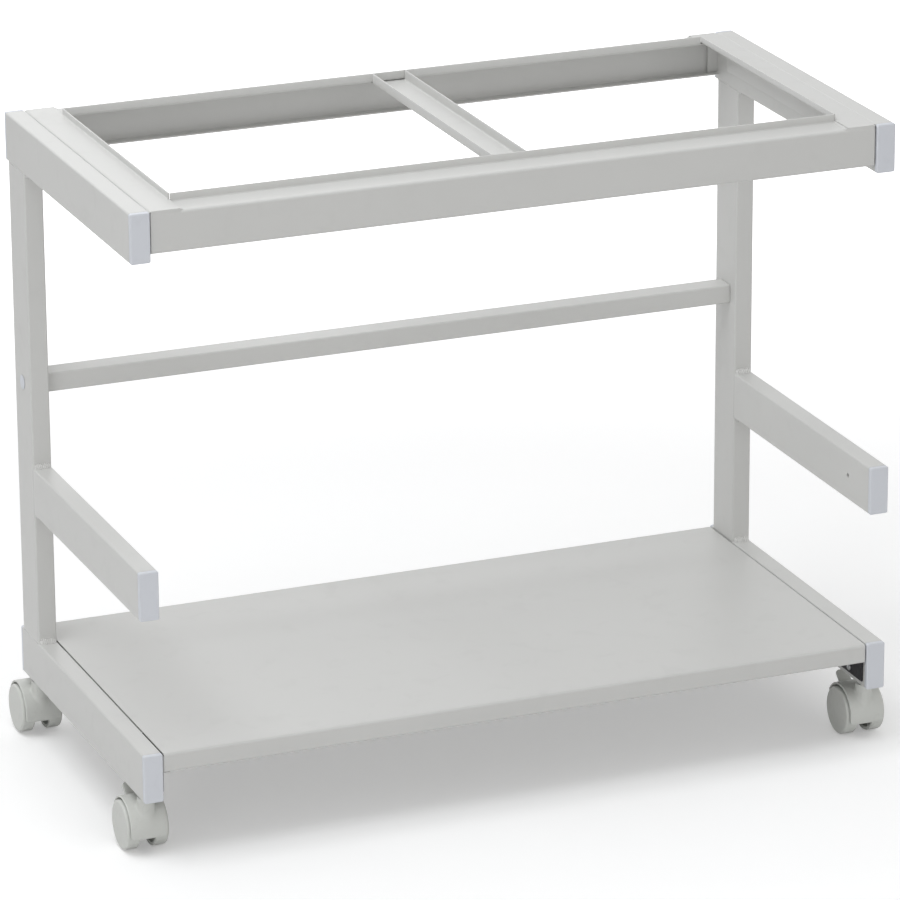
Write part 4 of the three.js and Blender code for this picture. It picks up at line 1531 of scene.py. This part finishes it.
    def hood(self) -> Shape:
        """The hood with all that is moulded to it.

        That is the shell, the web between the wheels (a sector of a circle about the axle), the
        axle's boss, the core round the stem and, on a braked caster, the lug and pins that the
        lever turns on.

        Returns:
            The closed shapes.
        """
        y, z = self.trail, self.axle_level
        reach = (self.hood_outer + self.hood_inner) / 2
        turn = np.radians(np.linspace(*self.web_turn, 40))
        arc = np.stack([y + reach * np.cos(turn), z + reach * np.sin(turn)], axis=1)
        sector = np.vstack([arc, [[y, z]]])
        web = prism(Axis.X, sector, -self.web_half, self.web_half, self.web_edge)
        bore, wall, half = self.axle_radius, self.axle_boss, self.axle_boss_half
        boss = lathe(Axis.X, [(bore, -half), (wall, -half), (wall, half), (bore, half)])
        block = rectangle(self.core_width, self.core_depth, self.core_corner)
        core = prism(Axis.Z, block, z - self.core_drop, z + self.core_rise, self.core_edge)
        shape = self.hood_shell() + web + boss.moved(y=y, z=z) + core
        if self.braked:
            lug = capsule((y, z + self.axle_boss), self.pivot, self.lug)
            shape += prism(Axis.X, lug, -self.web_half, self.web_half, self.lug_edge)
            tip, end = self.pin - self.chamfer, self.pin_half
            shoulder = end - self.chamfer
            profile = [(tip, -end), (self.pin, -shoulder), (self.pin, shoulder), (tip, end)]
            shape += lathe(Axis.X, profile, 24).moved(y=self.pivot[0], z=self.pivot[1])
        return shape

    def wheel(self, side: Side) -> Shape:
        """A wheel: a cup with a hub, ribs and a rounded tread, open towards the caster's middle.

        The turned profile runs from the hub's blind bore over the hub, the disc's inside, the rim
        and the tread to the outer face, which is crowned as the square of the radius.

        Args:
            side: The wheel's side of the caster.

        Returns:
            The closed shapes.
        """
        radius, disc = self.axle_level, self.half_width - self.disc
        inner, outer = self.wheel_inner, self.half_width
        soft, fillet = self.chamfer, self.fillet
        bore, cup = self.axle_radius + self.axle_play, radius - self.rim
        profile = [(bore, disc), (bore, self.hub_inner), (self.hub - soft, self.hub_inner)]
        profile += [(self.hub, self.hub_inner + soft), (self.hub, disc - fillet)]
        profile += [(self.hub + fillet, disc), (cup - fillet, disc), (cup, disc - fillet)]
        profile += [(cup, inner + soft), (cup + soft, inner)]
        turn = np.linspace(0, math.pi / 2, 6)
        edge = self.tread_edge
        profile += [(radius - edge - 0.3, inner)]
        place = inner + edge - edge * np.cos(turn)
        profile += list(zip(radius - edge + edge * np.sin(turn), place))
        profile += [(radius, inner + edge + soft)]
        edge, rim_place = self.face_edge, outer - self.crown
        profile += [(radius, rim_place - edge - soft)]
        turn = np.linspace(0, math.pi / 2 - 0.03, 9)
        rise = rim_place - edge + edge * np.sin(turn)
        profile += list(zip(radius - edge + edge * np.cos(turn), rise))
        face = np.linspace(radius - edge - 0.5, 1.5, 9)
        profile += list(zip(face, outer - self.crown * (face / (radius - edge)) ** 2))
        shape = lathe(Axis.X, profile, 72)
        spoke = rectangle(cup - self.hub + self.rib, self.rib, 0.3, ((cup + self.hub) / 2, 0))
        rib = prism(Axis.X, spoke, inner + self.rib_recess, disc + 0.5, 0.3)
        for turned in range(0, 360, 360 // self.ribs):
            shape += rib.turned(Axis.X, turned + self.rib_turn)
        return shape.on(side).moved(y=self.trail, z=self.axle_level)

    def lever(self) -> Shape:
        """The brake lever: a rounded tab and two cheeks that turn on the hood's pins.

        Returns:
            The closed shapes.
        """
        half, start, stop = self.lever_half, self.lever_start, self.lever_end
        radii = [self.lever_root, self.lever_corner, self.lever_corner, self.lever_root]
        loop = filleted([(half, start), (half, stop), (-half, stop), (-half, start)], radii, True)
        thick, (near, far) = self.lever_sheet / 2, self.cheek_span
        shape = prism(Axis.Z, loop, -thick, thick, self.lever_edge)
        cheek = capsule((0.0, 0.0), (start + thick, 0.0), self.cheek)
        for low, high in ((near, far), (-far, -near)):
            shape += prism(Axis.X, cheek, low, high, self.cheek_edge)
        return shape.turned(Axis.X, self.lever_angle).moved(y=self.pivot[0], z=self.pivot[1])

    def stem_pin(self) -> Shape:
        """The stem with its collar under the arm, turned, with chamfered edges.

        Returns:
            The closed shape.
        """
        low, high = box_mm(f"{self.name}_stem")
        foot, top = (self.boss_top + rise for rise in self.collar_faces)
        stem, tip, end = self.stem, self.stem - self.stem_chamfer, self.stem_chamfer
        brim, edge, soft = self.collar, self.collar - self.collar_chamfer, self.collar_chamfer
        profile = [(tip, low[2]), (stem, low[2] + end), (stem, foot), (edge, foot)]
        profile += [(brim, foot + soft), (brim, top - soft), (edge, top), (stem, top)]
        profile += [(stem, high[2] - end), (tip, high[2])]
        return lathe(Axis.Z, profile)

    def axle(self) -> Shape:
        """The axle, with chamfered ends.

        Returns:
            The closed shape.
        """
        reach, r, soft = self.half_width - self.disc - 0.5, self.axle_radius, self.chamfer
        profile = [(r - soft, -reach), (r, soft - reach), (r, reach - soft), (r - soft, reach)]
        return lathe(Axis.X, profile, 32).moved(y=self.trail, z=self.axle_level)

    def build(self) -> None:
        """Builds the caster's pieces."""
        name = self.name
        piece(f"{name}_pin", self.placed(self.stem_pin()), ZINC_STEEL, "frame", f"{name}_stem")
        cover, smooth = self.placed(self.hood()), self.hood_smooth
        piece(f"{name}_cover", cover, CASTER_PLASTIC, self.body, f"{name}_hood", smooth)
        piece(f"{name}_rod", self.placed(self.axle()), ZINC_STEEL, self.body, f"{name}_axle")
        for side in Side:
            wheel = self.placed(self.wheel(side))
            body = f"{self.end.word}_{self.side.word}_{side.word}_wheel"
            node = f"{name}_{side.word}_wheel"
            piece(f"{name}_{side.word}_roller", wheel, CASTER_PLASTIC, body, node)
        if self.braked:
            body = f"{self.end.word}_{self.side.word}_brake"
            lever, node = self.placed(self.lever()), f"{name}_brake_lever"
            piece(f"{name}_brake_tab", lever, CASTER_PLASTIC, body, node)


# Studio


@dataclass
class Viewpoint:
    """The camera of the reference view, in millimetres and radians."""

    place: tuple[float, float, float] = (-2003.77, -5006.581, 2192.947)
    azimuth: float = 0.38131838
    elevation: float = 0.33612691
    roll: float = -0.006
    sensor: float = 36.0
    lens: float = 224.823

    def build(self) -> None:
        """Builds the camera.

        It looks along (sin a cos e, cos a cos e, -sin e) for azimuth a and elevation e, and is
        then rolled about that line.
        """
        a, e, r = self.azimuth, self.elevation, self.roll
        forward = Vector((math.sin(a) * math.cos(e), math.cos(a) * math.cos(e), -math.sin(e)))
        level = Vector((math.cos(a), -math.sin(a), 0.0))
        upward = level.cross(forward)
        right = level * math.cos(r) + upward * math.sin(r)
        up = upward * math.cos(r) - level * math.sin(r)
        data = bpy.data.cameras.new("reference view")
        data.sensor_width = self.sensor
        data.lens = self.lens
        data.clip_end = 50.0
        camera = show("reference view", data)
        turn = Matrix((right, up, -forward)).transposed().to_4x4()
        camera.matrix_world = Matrix.Translation(Vector(self.place) * MM) @ turn
        bpy.context.scene.camera = camera


@dataclass(frozen=True)
class Lamp:
    """A square soft lamp: its place and side in metres, its power in watts and its tint."""

    name: str
    place: tuple[float, float, float]
    size: float
    watts: float
    tint: tuple[float, float, float] = (1.0, 1.0, 1.0)


@dataclass
class Studio:
    """The pale floor, the soft lamps and the white surroundings. Lengths in metres."""

    floor_half: float = 6.0
    floor_shown: float = 0.86
    floor_bounce: float = 0.88
    floor_glow: float = 0.25
    floor_drop: float = 0.0005
    fade_start: float = 0.8
    fade_end: float = 2.4
    world_strength: float = 0.5
    aim: tuple[float, float, float] = (0.0, 0.0, 0.35)
    lamps: tuple[Lamp, ...] = (
        Lamp("top lamp", (-0.9, -0.2, 2.9), 2.2, 40.5, (0.97, 0.985, 1.0)),
        Lamp("left lamp", (-3.6, -3.33, 0.5), 2.1, 30.5),
        Lamp("front lamp", (1.4, -3.6, 1.0), 2.2, 8.5, (1.0, 0.98, 0.94)),
        Lamp("rear lamp", (0.3, 3.0, 1.5), 1.8, 6.0),
        Lamp("right lamp", (3.2, 1.2, 0.5), 1.6, 9.0),
    )

    def floor_material(self) -> bpy.types.Material:
        """A pale matt floor that the camera doesn't see from below.

        The camera sees it lighter than the light that it throws back, and it glows up to plain
        white with the distance from its middle.

        Returns:
            The material.
        """
        material = bpy.data.materials.new("studio floor")
        material.use_nodes = True
        n = Nodes(material.node_tree)
        shader = material.node_tree.nodes["Principled BSDF"]
        shader.inputs["Roughness"].default_value = 0.9
        shader.inputs["Specular IOR Level"].default_value = 0.1
        shader.inputs["Emission Color"].default_value = (1.0, 1.0, 1.0, 1.0)
        path = n.add("ShaderNodeLightPath")
        mix = n.add("ShaderNodeMix", data_type="RGBA")
        mix.inputs[6].default_value = (*[self.floor_bounce] * 3, 1.0)
        mix.inputs[7].default_value = (*[self.floor_shown] * 3, 1.0)
        n.feed(path.outputs["Is Camera Ray"], mix.inputs["Factor"])
        n.feed(mix.outputs[2], shader.inputs["Base Color"])
        away = n.add("ShaderNodeVectorMath", operation="LENGTH")
        n.feed(n.add("ShaderNodeTexCoord").outputs["Object"], away.inputs[0])
        limits = {"in_1": self.fade_start, "in_2": self.fade_end}
        limits |= {"in_3": self.floor_glow, "in_4": 1.0}
        glow = n.add("ShaderNodeMapRange", interpolation_type="SMOOTHSTEP", **limits)
        n.feed(away.outputs["Value"], glow.inputs[0])
        strength = n.math("MULTIPLY", path.outputs["Is Camera Ray"], glow.outputs[0])
        n.feed(strength, shader.inputs["Emission Strength"])
        clear, seen = n.add("ShaderNodeBsdfTransparent"), n.add("ShaderNodeMixShader")
        n.feed(n.add("ShaderNodeNewGeometry").outputs["Backfacing"], seen.inputs[0])
        n.feed(shader.outputs[0], seen.inputs[1])
        n.feed(clear.outputs[0], seen.inputs[2])
        n.feed(seen.outputs[0], material.node_tree.nodes["Material Output"].inputs["Surface"])
        return material

    def build(self) -> None:
        """Builds the floor, the lamps and the world."""
        half = self.floor_half
        mesh = bpy.data.meshes.new("studio_floor")
        corners = [(-half, -half, 0), (half, -half, 0), (half, half, 0), (-half, half, 0)]
        mesh.from_pydata(corners, [], [(0, 1, 2, 3)])
        mesh.materials.append(self.floor_material())
        floor = show("studio_floor", mesh)
        floor.location.z = -self.floor_drop
        for lamp in self.lamps:
            data = bpy.data.lights.new(lamp.name, "AREA")
            data.shape = "SQUARE"
            data.size = lamp.size
            data.energy = lamp.watts
            data.color = lamp.tint
            light = show(lamp.name, data)
            place = Vector(lamp.place)
            turn = (place - Vector(self.aim)).to_track_quat("Z", "Y").to_matrix().to_4x4()
            light.matrix_world = Matrix.Translation(place) @ turn
        world = bpy.data.worlds.new("studio surroundings")
        world.use_nodes = True
        n = Nodes(world.node_tree)
        background = world.node_tree.nodes["Background"]
        path = n.add("ShaderNodeLightPath").outputs
        seen = n.math("MAXIMUM", path["Is Camera Ray"], path["Is Transmission Ray"])
        seen = n.math("MAXIMUM", seen, path["Is Glossy Ray"])
        strength = n.add("ShaderNodeMapRange", in_3=self.world_strength, in_4=1.0)
        n.feed(seen, strength.inputs[0])
        n.feed(strength.outputs[0], background.inputs["Strength"])
        background.inputs["Color"].default_value = (1.0, 1.0, 1.0, 1.0)
        bpy.context.scene.world = world
        bpy.context.scene.view_settings.view_transform = "Standard"


def dress_remaining() -> None:
    """Gives each CAD node that still shows the finish of its material slot."""
    slots = {entry["node"]: entry["material_slot"] for entry in frame["record"]["subparts"]}
    for name, node in frame["nodes"].items():
        if not node.hide_render:
            node.data.materials.clear()
            node.data.materials.append(FINISHES[slots[name]].material())
            log.info("%s: CAD mesh in %s", name, FINISHES[slots[name]].name)


def main() -> None:
    """Builds the trolley's pieces, the studio and the camera."""
    logging.basicConfig(level=logging.INFO, format="%(name)s: %(message)s")
    Viewpoint().build()
    for side in Side:
        SideFrame(side).build()
    Crossbar().build()
    TopFrame().build()
    Shelf().build()
    for end in End:
        for side in Side:
            Caster(end, side).build()
    dress_remaining()
    Studio().build()


if __name__ == "__main__":
    main()
